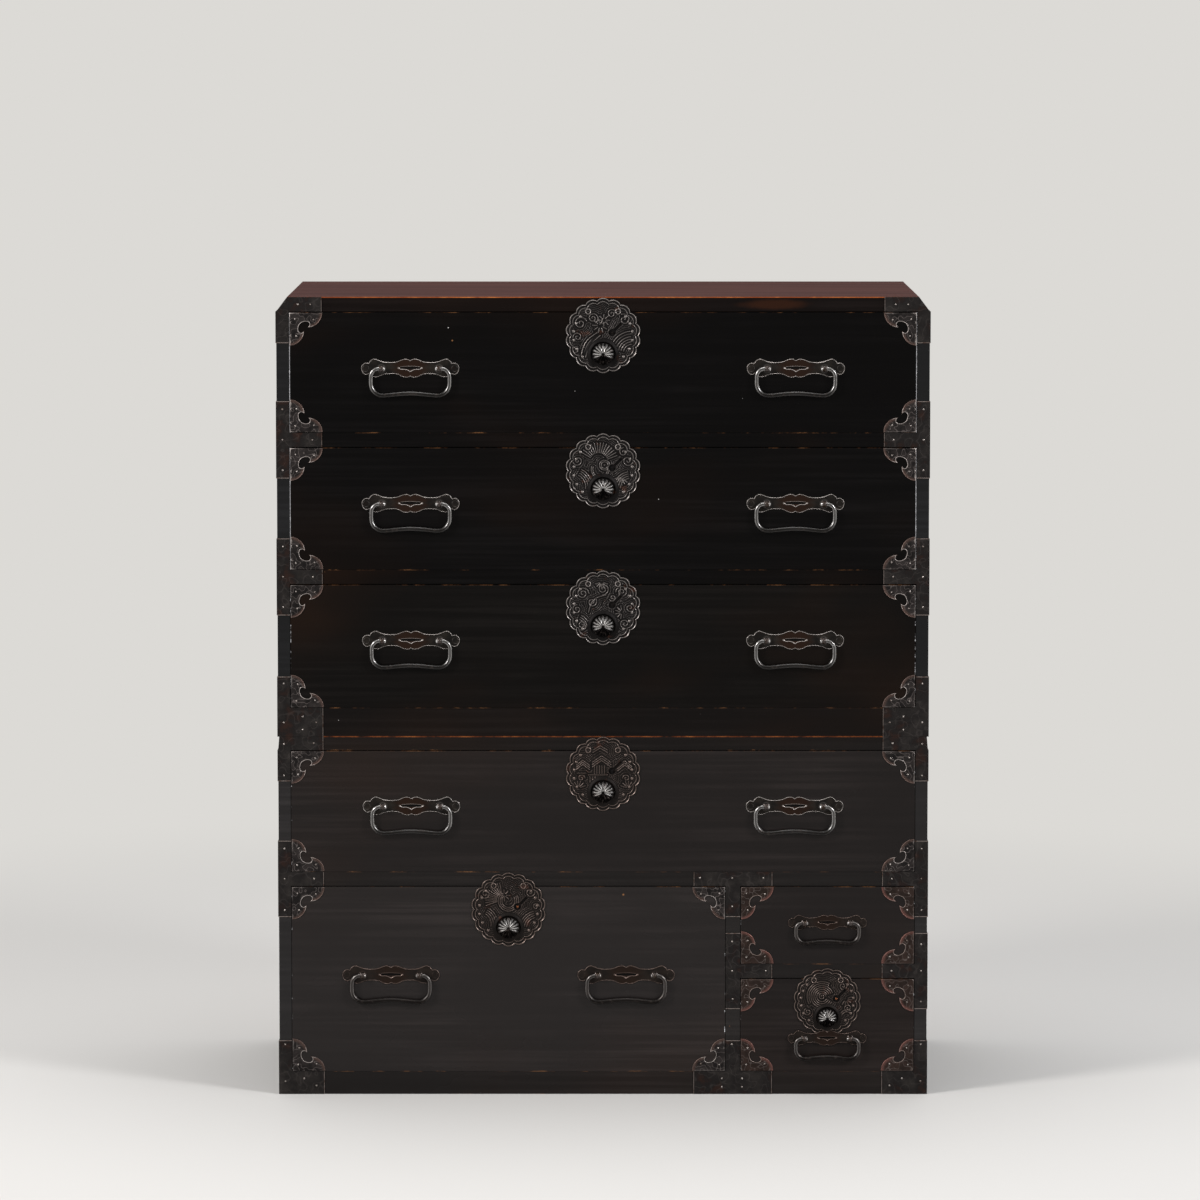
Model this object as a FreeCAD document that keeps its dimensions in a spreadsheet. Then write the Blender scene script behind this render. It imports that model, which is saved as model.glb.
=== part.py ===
import FreeCAD, Part
import os
import re

import Sketcher

# A stacked clothes chest: an upper case with three wide drawers stands on a lower case with a wide drawer,
# a deep drawer at the left and two small ones at the right. Every drawer front carries iron corner plates
# and bail handles, and six of them a scalloped lock plate with a push button that lifts the lock's bolt.
# The frame: +X to the viewer's right, +Y to the back, +Z up. The origin is on the floor, midway between
# the sides and midway between the front and the back of the wooden case.

SIZES = {
    # the two cases
    "case_width": 898,
    "case_depth": 428,
    "side_thickness": 17,
    "top_thickness": 20,
    "top_bevel": 15,  # how far each end of the top board slopes in
    "lower_top_thickness": 18.5,
    "lower_top_bevel": 1.5,
    "seam_gap": 0.2,  # between the two cases
    "rail_height": 19.5,
    "rail_depth": 34,
    "upper_base_height": 40,
    "lower_base_height": 32,
    "dust_thickness": 6,
    "dado_depth": 6,
    "back_thickness": 8,
    "back_rabbet": 8.5,
    "partition_thickness": 20,
    # the openings for the drawers
    "drawer_1_opening": 167,
    "drawer_2_opening": 170,
    "drawer_3_opening": 172,
    "drawer_4_opening": 170,
    "drawer_5_opening": 260,
    "drawer_6_opening": 109.5,
    "small_drawer_opening": 242,  # the width of the opening right of the partition
    # the drawers
    "front_thickness": 20,
    "front_proud": 0.4,
    "side_gap": 0.7,
    "top_gap": 1.2,
    "bottom_gap": 0.3,
    "drawer_back_gap": 15.4,  # behind the closed drawer
    "drawer_side_thickness": 10,
    "drawer_back_thickness": 9,
    "drawer_bottom_thickness": 7,
    "side_lap": 12,  # how far the sides are let into the front
    "bottom_lap": 10,
    # iron straps on the cases
    "strap_thickness": 1,
    "strap_reach": 43,  # along the post, past the rail
    "arm_reach": 45,  # along the rail, past the post
    "side_leg": 40,  # round the corner, along the side
    "partition_arm": 44,
    # corner plates on the drawers
    "corner_thickness": 1,
    "corner_size": 45,
    "corner_margin": 0.6,
    "corner_lobe_radius": 20,
    "hook_turn": 79,  # how far round its lobe each hook lies, in degrees
    "bite_centre": 20.3,
    "bite_radius": 8.5,
    # handles
    "handle_inset": 166.3,  # from the end of the drawer's front to the middle of its handle
    "handle_drop": 78.5,
    "drawer_5_handle_inset": 137.3,
    "drawer_5_handle_drop": 125,
    "drawer_6_handle_drop": 51.6,
    "drawer_7_handle_drop": 84.3,
    "handle_plate_thickness": 1.2,
    "handle_plate_hump": 13.9,
    "handle_plate_dip": 10.6,
    "handle_plate_keel": 12.6,
    "handle_plate_edge": 8.8,
    "handle_plate_reach": 67.8,
    "end_lobe_radius": 7.8,
    "hump_radius": 8.5,
    "small_handle_share": 0.81,
    "eye_spread": 39.5,
    "eye_length": 5,
    "eye_flat": 4.8,  # from the pivot to the eye's flats
    "pin_width": 4,
    "pin_clearance": 0.2,
    "pin_end": 2.5,  # how far the pin stands out of the eye
    "bail_bar": 5.6,
    "bail_reach": 54,
    "bail_depth": 37,
    "shoulder_gap": 1.2,  # between the eye and the start of the shoulder
    "small_bail_depth": 28,
    "bail_corner_radius": 17,
    "bail_bow": 9.6,  # the slope at the ends of the bowed grip, in degrees
    # locks
    "lock_drop": 33,
    "lock_plate_thickness": 1.6,
    "lock_plate_radius": 52,
    "small_lock_plate_radius": 47,
    "lock_lobes": 18,
    "lock_lobe_radius": 11,
    "rim_width": 8,
    "dish_depth": 0.5,
    "button_drop": 25.5,
    "small_button_drop": 22.5,
    "button_radius": 14.8,
    "small_button_radius": 13,
    "petals": 16,
    "petal_groove": 0.9,  # the gap between two petals at the rim
    "petal_rim": 1.8,
    "button_height": 5.6,
    "crown_share": 0.4,  # of the head's radius, at its flat top
    "button_travel": 3,
    "button_gap": 0.4,
    "stem_width": 6,
    "stem_clearance": 0.3,
    "keyhole_radius": 4.4,
    "keyhole_side": 12.5,
    "keyhole_rise": 4,
    "key_slot_width": 3,
    "key_slot_length": 17.5,
    "front_web": 6,  # the wood left in front of the lock case
    "lock_case_width": 56,
    "lock_wall": 2,
    "lock_floor": 3,
    "bolt_width": 20,
    "bolt_thickness": 9.4,
    "bolt_clearance": 0.3,
    "bolt_rest": 0.8,  # how far the bolt's top lies below the drawer's top edge
    "bolt_lift_ratio": 2,  # the bolt's lift for each unit of the button's travel
    "foot_gap": 0.6,  # between the bolt's foot and the stem's tip, measured upwards
    "stem_reach": 1.5,  # how far the middle of the stem's tip stands inside the lock case
    "mortise_clearance": 1.5,
    "mortise_depth": 9,
}

# how many flats stand for a round stretch: thin and often repeated irons have few
LOBE_FLATS = 3
BITE_FLATS = 6
END_LOBE_FLATS = 5
HUMP_FLATS = 3
BEND_FLATS = 3
BOW_FLATS = 2
BAR_FLATS = 6
LOCK_LOBE_FLATS = 12
KEYHOLE_FLATS = 8

doc = FreeCAD.newDocument("StackedChest")
sheet = doc.addObject("Spreadsheet::Sheet", "sizes")
for row, (name, number) in enumerate(SIZES.items(), start=1):
    sheet.set(f"A{row}", name)
    sheet.set(f"B{row}", str(number))
    sheet.setAlias(f"B{row}", name)
doc.recompute()


def rule(text):
    """The expression with every size's name pointed at the sheet."""
    return re.sub(r"[a-z]\w+", lambda word: f"sizes.{word[0]}" if word[0] in SIZES else word[0], text)


def number(text):
    """What the expression comes to now."""
    return float(sheet.evalExpression(rule(text)))


def bind(thing, rules):
    for path, text in rules.items():
        thing.setExpression(path, rule(text))
    return thing


def place(thing, x="0", y="0", z="0"):
    return bind(thing, {"Placement.Base.x": x, "Placement.Base.y": y, "Placement.Base.z": z})


# ---- what the pieces are made with ----

def board(name, x, y, z, length, depth, height):
    box = doc.addObject("Part::Box", name)
    bind(box, {"Length": length, "Width": depth, "Height": height})
    return place(box, x, y, z)


def cut(name, base, tools):
    tool = tools[0]
    if len(tools) > 1:
        tool = doc.addObject("Part::Compound", f"{name}_tools")
        tool.Links = tools
    made = doc.addObject("Part::Cut", name)
    made.Base = base
    made.Tool = tool
    return made


def group(name, pieces):
    """One sub-part that holds several separate solids."""
    made = doc.addObject("Part::Compound", name)
    made.Links = pieces
    return made


def copy_of(master, name, x="0", y="0", z="0", turn=0):
    """The master piece once more, turned about Y by so many degrees."""
    made = doc.addObject("App::Link", name)
    made.LinkedObject = master
    made.Placement = FreeCAD.Placement(FreeCAD.Vector(), FreeCAD.Rotation(FreeCAD.Vector(0, 1, 0), turn))
    return place(made, x, y, z)


def mirrored(master, name):
    made = doc.addObject("Part::Mirroring", name)
    made.Source = master
    made.Normal = FreeCAD.Vector(1, 0, 0)
    return made


def origin_plane(body, role):
    return next(plane for plane in body.Origin.OriginFeatures if plane.Role == role)


def sketch_on(body, role, name, lift="0"):
    sketch = body.newObject("Sketcher::SketchObject", f"{body.Name}_{name}")
    sketch.AttachmentSupport = [(origin_plane(body, role), "")]
    sketch.MapMode = "FlatFace"
    return bind(sketch, {"AttachmentOffset.Base.z": lift})


def chain(sketch, corners, closed=True):
    """Straight edges from corner to corner. Each corner is held in x and in y by an expression."""
    points = [FreeCAD.Vector(number(x), number(y), 0) for x, y in corners]
    count = len(points) if closed else len(points) - 1
    sketch.addGeometry([Part.LineSegment(points[i], points[(i + 1) % len(points)]) for i in range(count)], False)
    joints = [Sketcher.Constraint("Coincident", i, 2, (i + 1) % count, 1) for i in range(count if closed else count - 1)]
    ends = [(i, 1) for i in range(count)] + ([] if closed else [(count - 1, 2)])
    places = []
    for end, point in zip(ends, points):
        places += [Sketcher.Constraint("DistanceX", *end, point.x), Sketcher.Constraint("DistanceY", *end, point.y)]
    sketch.addConstraint(joints + places)
    for index, text in enumerate([text for corner in corners for text in corner], start=len(joints)):
        sketch.setExpression(f"Constraints[{index}]", rule(text))


def bend(x, y, radius, start, end, flats):
    """The corners of a round stretch about a centre, from one angle to another, drawn as so many flats."""
    angles = [f"({start} + (({end}) - ({start})) * {step / flats})" for step in range(flats + 1)]
    return [(f"{x} + {radius} * cos({angle})", f"{y} + {radius} * sin({angle})") for angle in angles]


def round_ring(radius, flats, x="0", y="0"):
    return bend(x, y, radius, "0", "360", flats)[:-1]


def both_halves(half):
    """The whole ring of a symmetric outline, from the half right of x = 0, listed upwards."""
    return half + [(f"-({x})", y) for x, y in reversed(half)]


def block_ring(left, right, low, high):
    return [(left, low), (right, low), (right, high), (left, high)]


def pad(body, sketch, length, reverse=False):
    made = body.newObject("PartDesign::Pad", f"{sketch.Name}_pad")
    made.Profile = sketch
    made.Reversed = reverse
    return bind(made, {"Length": length})


def pocket(body, sketch, length="0", reverse=False, through=False):
    made = body.newObject("PartDesign::Pocket", f"{sketch.Name}_pocket")
    made.Profile = sketch
    made.Reversed = reverse
    if through:
        made.Type = "ThroughAll"
        made.Midplane = True
        return made
    return bind(made, {"Length": length})


# ---- heights and widths that the cases and the drawers share ----

CASE_FRONT = "-case_depth / 2"
INSIDE_LEFT = "-case_width / 2 + side_thickness"
INSIDE_WIDTH = "(case_width - 2 * side_thickness)"
DRAWER_7_OPENING = "(drawer_5_opening - drawer_6_opening - rail_height)"
SMALL_LEFT = "case_width / 2 - side_thickness - small_drawer_opening"
WIDE_5 = f"({INSIDE_WIDTH} - small_drawer_opening - partition_thickness)"

FLOOR_7 = "lower_base_height"
FLOOR_5 = "lower_base_height"
FLOOR_6 = f"{FLOOR_7} + {DRAWER_7_OPENING} + rail_height"
FLOOR_4 = f"{FLOOR_5} + drawer_5_opening + rail_height"
LOWER_TOP = f"{FLOOR_4} + drawer_4_opening"
SEAM = f"{LOWER_TOP} + lower_top_thickness + seam_gap"
FLOOR_3 = f"{SEAM} + upper_base_height"
FLOOR_2 = f"{FLOOR_3} + drawer_3_opening + rail_height"
FLOOR_1 = f"{FLOOR_2} + drawer_2_opening + rail_height"
UPPER_TOP = f"{FLOOR_1} + drawer_1_opening"

DRAWER_LENGTH = "(case_depth + front_proud - back_thickness - drawer_back_gap)"
WIDE = {"left": INSIDE_LEFT, "opening_width": INSIDE_WIDTH, "handle_inset": "handle_inset",
        "handle_drop": "handle_drop", "share": "1", "lock": ""}
SMALL = {"left": SMALL_LEFT, "opening_width": "small_drawer_opening", "handle_inset": None,
         "share": "small_handle_share"}
DRAWERS = {
    1: {**WIDE, "floor": FLOOR_1, "opening": "drawer_1_opening"},
    2: {**WIDE, "floor": FLOOR_2, "opening": "drawer_2_opening"},
    3: {**WIDE, "floor": FLOOR_3, "opening": "drawer_3_opening"},
    4: {**WIDE, "floor": FLOOR_4, "opening": "drawer_4_opening"},
    5: {**WIDE, "floor": FLOOR_5, "opening": "drawer_5_opening", "opening_width": WIDE_5,
        "handle_inset": "drawer_5_handle_inset", "handle_drop": "drawer_5_handle_drop"},
    6: {**SMALL, "floor": FLOOR_6, "opening": "drawer_6_opening",
        "handle_drop": "drawer_6_handle_drop", "lock": None},
    7: {**SMALL, "floor": FLOOR_7, "opening": DRAWER_7_OPENING,
        "handle_drop": "drawer_7_handle_drop", "lock": "small_"},
}
for drawer in DRAWERS.values():
    drawer["width"] = f"({drawer['opening_width']} - 2 * side_gap)"
    drawer["height"] = f"({drawer['opening']} - top_gap - bottom_gap)"
    drawer["x"] = f"{drawer['left']} + side_gap"
    drawer["y"] = f"{CASE_FRONT} - front_proud"
    drawer["z"] = f"{drawer['floor']} + bottom_gap"
    drawer["middle"] = f"{drawer['left']} + {drawer['opening_width']} / 2"
    drawer["top"] = f"{drawer['z']} + {drawer['height']}"
    drawer["opening_top"] = f"{drawer['floor']} + {drawer['opening']}"
    spread = f"({drawer['width']} / 2 - {drawer['handle_inset']})"
    drawer["bails"] = {"": "0"} if drawer["handle_inset"] is None else {"_left": f"-{spread}", "_right": spread}

# the lock's depths, from the outer face of the drawer's front
BOLT_FRONT = "(front_web + lock_wall + bolt_clearance)"
BOLT_BACK = f"({BOLT_FRONT} + bolt_thickness)"
TIP_Y = "(front_web + lock_wall + stem_reach)"
BOLT_FOOT = f"(bolt_lift_ratio * ({BOLT_BACK} - {TIP_Y}) - foot_gap)"  # below the button's axis
STEM_HOLE = "(stem_width + 2 * stem_clearance)"


# ---- the wooden cases ----

def mortise(index):
    """The hole above a lock that its bolt enters."""
    drawer = DRAWERS[index]
    return board(
        f"mortise_{index}", f"{drawer['middle']} - bolt_width / 2 - mortise_clearance",
        f"{drawer['y']} + {BOLT_FRONT} - mortise_clearance", drawer["opening_top"],
        "bolt_width + 2 * mortise_clearance", "bolt_thickness + 2 * mortise_clearance", "mortise_depth")


def side_board(name, side, bottom, top, floors):
    """A side with a dado for each dust board and a rabbet for the back board."""
    inner = "case_width / 2 - side_thickness" if side == "right" else "-case_width / 2 + side_thickness"
    left = inner if side == "right" else "-case_width / 2"
    dado_left = inner if side == "right" else f"{inner} - dado_depth"
    rabbet_left = inner if side == "right" else f"{inner} - back_rabbet"
    height = f"({top}) - ({bottom})"
    tools = [
        board(f"{name}_dado_{i}", dado_left, f"{CASE_FRONT} + rail_depth", f"{floor} - dust_thickness",
              "dado_depth", "case_depth - rail_depth", "dust_thickness")
        for i, floor in enumerate(floors)
    ]
    tools.append(board(f"{name}_rabbet", rabbet_left, "case_depth / 2 - back_thickness", bottom,
                       "back_rabbet", "back_thickness", height))
    blank = board(f"{name}_blank", left, CASE_FRONT, bottom, "side_thickness", "case_depth", height)
    return cut(name, blank, tools)


def rail(name, left, length, top, height="rail_height"):
    return board(name, left, CASE_FRONT, f"{top} - {height}", length, "rail_depth", height)


def dust_board(name, left, right, floor):
    return board(name, left, f"{CASE_FRONT} + rail_depth", f"{floor} - dust_thickness",
                 f"({right}) - ({left})", "case_depth - rail_depth - back_thickness", "dust_thickness")


def back_board(name, bottom, top):
    return board(name, f"{INSIDE_LEFT} - back_rabbet", "case_depth / 2 - back_thickness", bottom,
                 f"{INSIDE_WIDTH} + 2 * back_rabbet", "back_thickness", f"({top}) - ({bottom})")


def top_board(name, bottom, thickness, bevel, mortise_tool):
    """A board over the full width and depth, its two ends sloping in."""
    body = doc.addObject("PartDesign::Body", f"{name}_blank")
    sketch = sketch_on(body, "XZ_Plane", "end", lift="case_depth / 2")
    chain(sketch, [("-case_width / 2", bottom), ("case_width / 2", bottom),
                  (f"case_width / 2 - {bevel}", f"{bottom} + {thickness}"),
                  (f"-case_width / 2 + {bevel}", f"{bottom} + {thickness}")])
    pad(body, sketch, "case_depth", reverse=True)
    return cut(name, body, [mortise_tool])


DADO_LEFT = f"{INSIDE_LEFT} - dado_depth"
DADO_RIGHT = "case_width / 2 - side_thickness + dado_depth"


def upper_case():
    floors = [FLOOR_1, FLOOR_2, FLOOR_3]
    group("upper_side_boards", [side_board(f"upper_{side}_side", side, SEAM, UPPER_TOP, floors)
                                for side in ("left", "right")])
    top_board("upper_top_board", UPPER_TOP, "top_thickness", "top_bevel", mortise(1))
    group("upper_front_rails", [
        cut(f"rail_{index}", rail(f"rail_{index}_blank", INSIDE_LEFT, INSIDE_WIDTH, floor), [mortise(index + 1)])
        for index, floor in ((1, FLOOR_1), (2, FLOOR_2))])
    rail("upper_base_rail", INSIDE_LEFT, INSIDE_WIDTH, FLOOR_3, "upper_base_height")
    group("upper_dust_boards", [dust_board(f"dust_board_{i}", DADO_LEFT, DADO_RIGHT, floor)
                                for i, floor in enumerate(floors, start=1)])
    back_board("upper_back_board", SEAM, UPPER_TOP)


def partition():
    """It stands on the base and stops under the long rail, with a dado for the small dust board."""
    left = f"{SMALL_LEFT} - partition_thickness"
    blank = board("partition_blank", left, CASE_FRONT, FLOOR_5, "partition_thickness",
                  "case_depth - back_thickness", "drawer_5_opening + rail_height - dust_thickness")
    notch = board("partition_notch", left, CASE_FRONT, f"{FLOOR_5} + drawer_5_opening",
                  "partition_thickness", "rail_depth", "rail_height - dust_thickness")
    dado = board("partition_dado", f"{SMALL_LEFT} - dado_depth", f"{CASE_FRONT} + rail_depth",
                 f"{FLOOR_6} - dust_thickness", "dado_depth", "case_depth - rail_depth", "dust_thickness")
    cut("lower_partition", blank, [notch, dado])


def lower_case():
    group("lower_side_boards", [side_board("lower_left_side", "left", "0", LOWER_TOP, [FLOOR_4, FLOOR_5]),
                                side_board("lower_right_side", "right", "0", LOWER_TOP,
                                           [FLOOR_4, FLOOR_5, FLOOR_6])])
    top_board("lower_top_board", LOWER_TOP, "lower_top_thickness", "lower_top_bevel", mortise(4))
    group("lower_front_rails", [
        cut("rail_4", rail("rail_4_blank", INSIDE_LEFT, INSIDE_WIDTH, FLOOR_4), [mortise(5)]),
        cut("rail_6", rail("rail_6_blank", SMALL_LEFT, "small_drawer_opening", FLOOR_6), [mortise(7)])])
    rail("lower_base_rail", INSIDE_LEFT, INSIDE_WIDTH, FLOOR_5, "lower_base_height")
    group("lower_dust_boards", [
        dust_board("dust_board_4", DADO_LEFT, DADO_RIGHT, FLOOR_4),
        dust_board("dust_board_5", DADO_LEFT, DADO_RIGHT, FLOOR_5),
        dust_board("dust_board_6", f"{SMALL_LEFT} - dado_depth", DADO_RIGHT, FLOOR_6)])
    partition()
    back_board("lower_back_board", "0", LOWER_TOP)


# ---- iron straps on the cases ----

POST_LEFT = "-case_width / 2"
ARM_END = f"{INSIDE_LEFT} + arm_reach"


def strap(name, outline, low=None, high=None):
    """A flat iron on the case's front, with a leg round the left corner between two heights, if they are given."""
    body = doc.addObject("PartDesign::Body", name)
    face = sketch_on(body, "XZ_Plane", "face", lift="case_depth / 2")
    chain(face, outline)
    pad(body, face, "strap_thickness")
    if low is not None:
        leg = sketch_on(body, "XZ_Plane", "leg", lift="case_depth / 2 + strap_thickness")
        chain(leg, block_ring(f"{POST_LEFT} - strap_thickness", POST_LEFT, low, high))
        pad(body, leg, "side_leg + strap_thickness", reverse=True)
    return body


def tee(name, rail_low, rail_high):
    """The iron at the joint of a post and a rail."""
    low, high = f"{rail_low} - strap_reach", f"{rail_high} + strap_reach"
    return strap(name, [(POST_LEFT, low), (INSIDE_LEFT, low), (INSIDE_LEFT, rail_low), (ARM_END, rail_low),
                        (ARM_END, rail_high), (INSIDE_LEFT, rail_high), (INSIDE_LEFT, high), (POST_LEFT, high)],
                 low, high)


def foot(name, bottom, top):
    """The iron at the bottom of a case."""
    high = f"{top} + strap_reach"
    return strap(name, [(POST_LEFT, bottom), (ARM_END, bottom), (ARM_END, top), (INSIDE_LEFT, top),
                        (INSIDE_LEFT, high), (POST_LEFT, high)], bottom, high)


def head(name, bottom, thickness, bevel):
    """The iron at the top of a case, which follows the slope of the top board's end."""
    low, high = f"{bottom} - strap_reach", f"{bottom} + {thickness}"
    return strap(name, [(POST_LEFT, low), (INSIDE_LEFT, low), (INSIDE_LEFT, bottom), (ARM_END, bottom),
                        (ARM_END, high), (f"{POST_LEFT} + {bevel}", high), (POST_LEFT, bottom)],
                 low, bottom)


def partition_straps():
    left, right = f"{SMALL_LEFT} - partition_thickness", SMALL_LEFT
    arm_left, arm_right = f"{left} - partition_arm", f"{right} + partition_arm"
    rail_low, stem_low = f"{FLOOR_4} - rail_height", f"{FLOOR_4} - rail_height - strap_reach"
    top = strap("partition_top_iron", [
        (left, stem_low), (right, stem_low), (right, rail_low), (arm_right, rail_low),
        (arm_right, FLOOR_4), (arm_left, FLOOR_4), (arm_left, rail_low), (left, rail_low)])
    low, high = f"{FLOOR_6} - rail_height", FLOOR_6
    middle = strap("partition_middle_iron", [
        (left, f"{low} - strap_reach"), (right, f"{low} - strap_reach"), (right, low), (arm_right, low),
        (arm_right, high), (right, high), (right, f"{high} + strap_reach"), (left, f"{high} + strap_reach")])
    stem_high = f"{FLOOR_5} + strap_reach"
    bottom = strap("partition_foot_iron", [
        (arm_left, "0"), (arm_right, "0"), (arm_right, FLOOR_5), (right, FLOOR_5),
        (right, stem_high), (left, stem_high), (left, FLOOR_5), (arm_left, FLOOR_5)])
    return [top, middle, bottom]


def case_irons():
    upper = [head("upper_head_iron", UPPER_TOP, "top_thickness", "top_bevel"),
             tee("iron_1", f"{FLOOR_1} - rail_height", FLOOR_1),
             tee("iron_2", f"{FLOOR_2} - rail_height", FLOOR_2),
             foot("upper_foot_iron", SEAM, FLOOR_3)]
    lower = [head("lower_head_iron", LOWER_TOP, "lower_top_thickness", "lower_top_bevel"),
             tee("iron_4", f"{FLOOR_4} - rail_height", FLOOR_4),
             foot("lower_foot_iron", "0", FLOOR_5)]
    small = mirrored(tee("iron_6", f"{FLOOR_6} - rail_height", FLOOR_6), "iron_6_right")
    group("upper_corner_irons", upper + [mirrored(iron, f"{iron.Name}_right") for iron in upper])
    group("lower_corner_irons", lower + [mirrored(iron, f"{iron.Name}_right") for iron in lower]
          + [small] + partition_straps())


# ---- the drawers' boxes, each made with its lower left front corner at the origin ----

# How far the lock case reaches below the drawer's top edge, past the drop of its button.
LOCK_REACH = f"lock_drop - top_gap + {BOLT_FOOT} + bolt_clearance + lock_floor"


def drawer_front(index, drawer):
    width, height = drawer["width"], drawer["height"]
    name = f"drawer_{index}_front"
    lap_y, lap_x = "front_thickness - side_lap", f"{width} - drawer_side_thickness"
    tools = [board(f"{name}_left_lap", "0", lap_y, "0", "drawer_side_thickness", "side_lap", height),
             board(f"{name}_right_lap", lap_x, lap_y, "0", "drawer_side_thickness", "side_lap", height),
             board(f"{name}_bottom_lap", "0", "front_thickness - bottom_lap", "0",
                   width, "bottom_lap", "drawer_bottom_thickness")]
    if drawer["lock"] is not None:
        small = drawer["lock"]
        lock_height = f"({small}button_drop + {LOCK_REACH})"
        tools += [board(f"{name}_lock_recess", f"{width} / 2 - lock_case_width / 2", "front_web",
                        f"{height} - {lock_height}", "lock_case_width", "front_thickness - front_web",
                        lock_height),
                  board(f"{name}_stem_hole", f"{width} / 2 - stem_width / 2 - stem_clearance", "0",
                        f"{height} + top_gap - lock_drop - {small}button_drop - stem_width / 2 - stem_clearance",
                        "stem_width + 2 * stem_clearance", "front_web", "stem_width + 2 * stem_clearance")]
    blank = board(f"{name}_blank", "0", "0", "0", width, "front_thickness", height)
    place(cut(name, blank, tools), drawer["x"], drawer["y"], drawer["z"])


def drawer_box(index, drawer):
    width, height = drawer["width"], drawer["height"]
    name = f"drawer_{index}_box"
    side_y, side_depth = "front_thickness - side_lap", f"{DRAWER_LENGTH} - front_thickness + side_lap"
    wall_height = f"{height} - drawer_bottom_thickness"
    pieces = [
        board(f"{name}_left", "0", side_y, "drawer_bottom_thickness",
              "drawer_side_thickness", side_depth, wall_height),
        board(f"{name}_right", f"{width} - drawer_side_thickness", side_y, "drawer_bottom_thickness",
              "drawer_side_thickness", side_depth, wall_height),
        board(f"{name}_back", "drawer_side_thickness", f"{DRAWER_LENGTH} - drawer_back_thickness",
              "drawer_bottom_thickness", f"{width} - 2 * drawer_side_thickness",
              "drawer_back_thickness", wall_height),
        board(f"{name}_bottom", "0", "front_thickness - bottom_lap", "0",
              width, f"{DRAWER_LENGTH} - front_thickness + bottom_lap", "drawer_bottom_thickness")]
    place(group(name, pieces), drawer["x"], drawer["y"], drawer["z"])


# ---- corner plates, handles and locks, each made once round its own origin ----

def corner_plate():
    """Two lobes and a hooked bite between them, for a lower left corner."""
    body = doc.addObject("PartDesign::Body", "corner_plate")
    face = sketch_on(body, "XZ_Plane", "face")
    lobe = "(corner_size - corner_lobe_radius)"
    chain(face, [("0", "0")]
          + bend(lobe, "0", "corner_lobe_radius", "0", "hook_turn", LOBE_FLATS)
          + bend("bite_centre", "bite_centre", "bite_radius", "0", "-270", BITE_FLATS)
          + bend("0", lobe, "corner_lobe_radius", "90 - hook_turn", "90", LOBE_FLATS))
    pad(body, face, "corner_thickness")
    return body


def handle_plate(name, share):
    """A cloud-shaped plate, its pivot line at the origin."""
    body = doc.addObject("PartDesign::Body", name)
    face = sketch_on(body, "XZ_Plane", "face")
    lobe_x, hump_x = "(handle_plate_reach - end_lobe_radius)", "(handle_plate_reach * 0.75)"
    half = [("handle_plate_reach * 0.09", "-handle_plate_keel"), ("handle_plate_reach * 0.2", "-handle_plate_keel + 0.8"),
            ("handle_plate_reach * 0.28", "-handle_plate_edge"), ("handle_plate_reach * 0.78", "-handle_plate_edge + 1.4"),
            *bend(lobe_x, "0", "end_lobe_radius", "-75", "90", END_LOBE_FLATS),
            *bend(hump_x, "handle_plate_hump - hump_radius", "hump_radius", "25", "125", HUMP_FLATS),
            ("handle_plate_reach * 0.56", "handle_plate_dip"), ("handle_plate_reach * 0.36", "handle_plate_dip"),
            ("handle_plate_reach * 0.2", "handle_plate_hump - 0.9"), ("handle_plate_reach * 0.1", "handle_plate_hump"),
            ("handle_plate_reach * 0.03", "handle_plate_hump - 0.7")]
    chain(face, both_halves([(f"({x}) * {share}", f"({y}) * {share}") for x, y in half]))
    pad(body, face, "handle_plate_thickness")
    return body


def eye_post(name):
    """An eight-sided eye that the bail's pin turns in, centred on the pivot line."""
    solids = []
    for part, flat in (("ring", "eye_flat"), ("bore", "(pin_width / 2 * sqrt(2) + pin_clearance)")):
        prism = doc.addObject("Part::Prism", f"{name}_{part}")
        prism.Polygon = 8
        bind(prism, {"Circumradius": f"{flat} / cos(22.5)", "Height": "eye_length"})
        prism.Placement.Rotation = (FreeCAD.Rotation(FreeCAD.Vector(0, 1, 0), 90)
                                    * FreeCAD.Rotation(FreeCAD.Vector(0, 0, 1), 22.5))
        solids.append(place(prism, "-eye_length / 2"))
    return cut(name, solids[0], [solids[1]])


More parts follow.
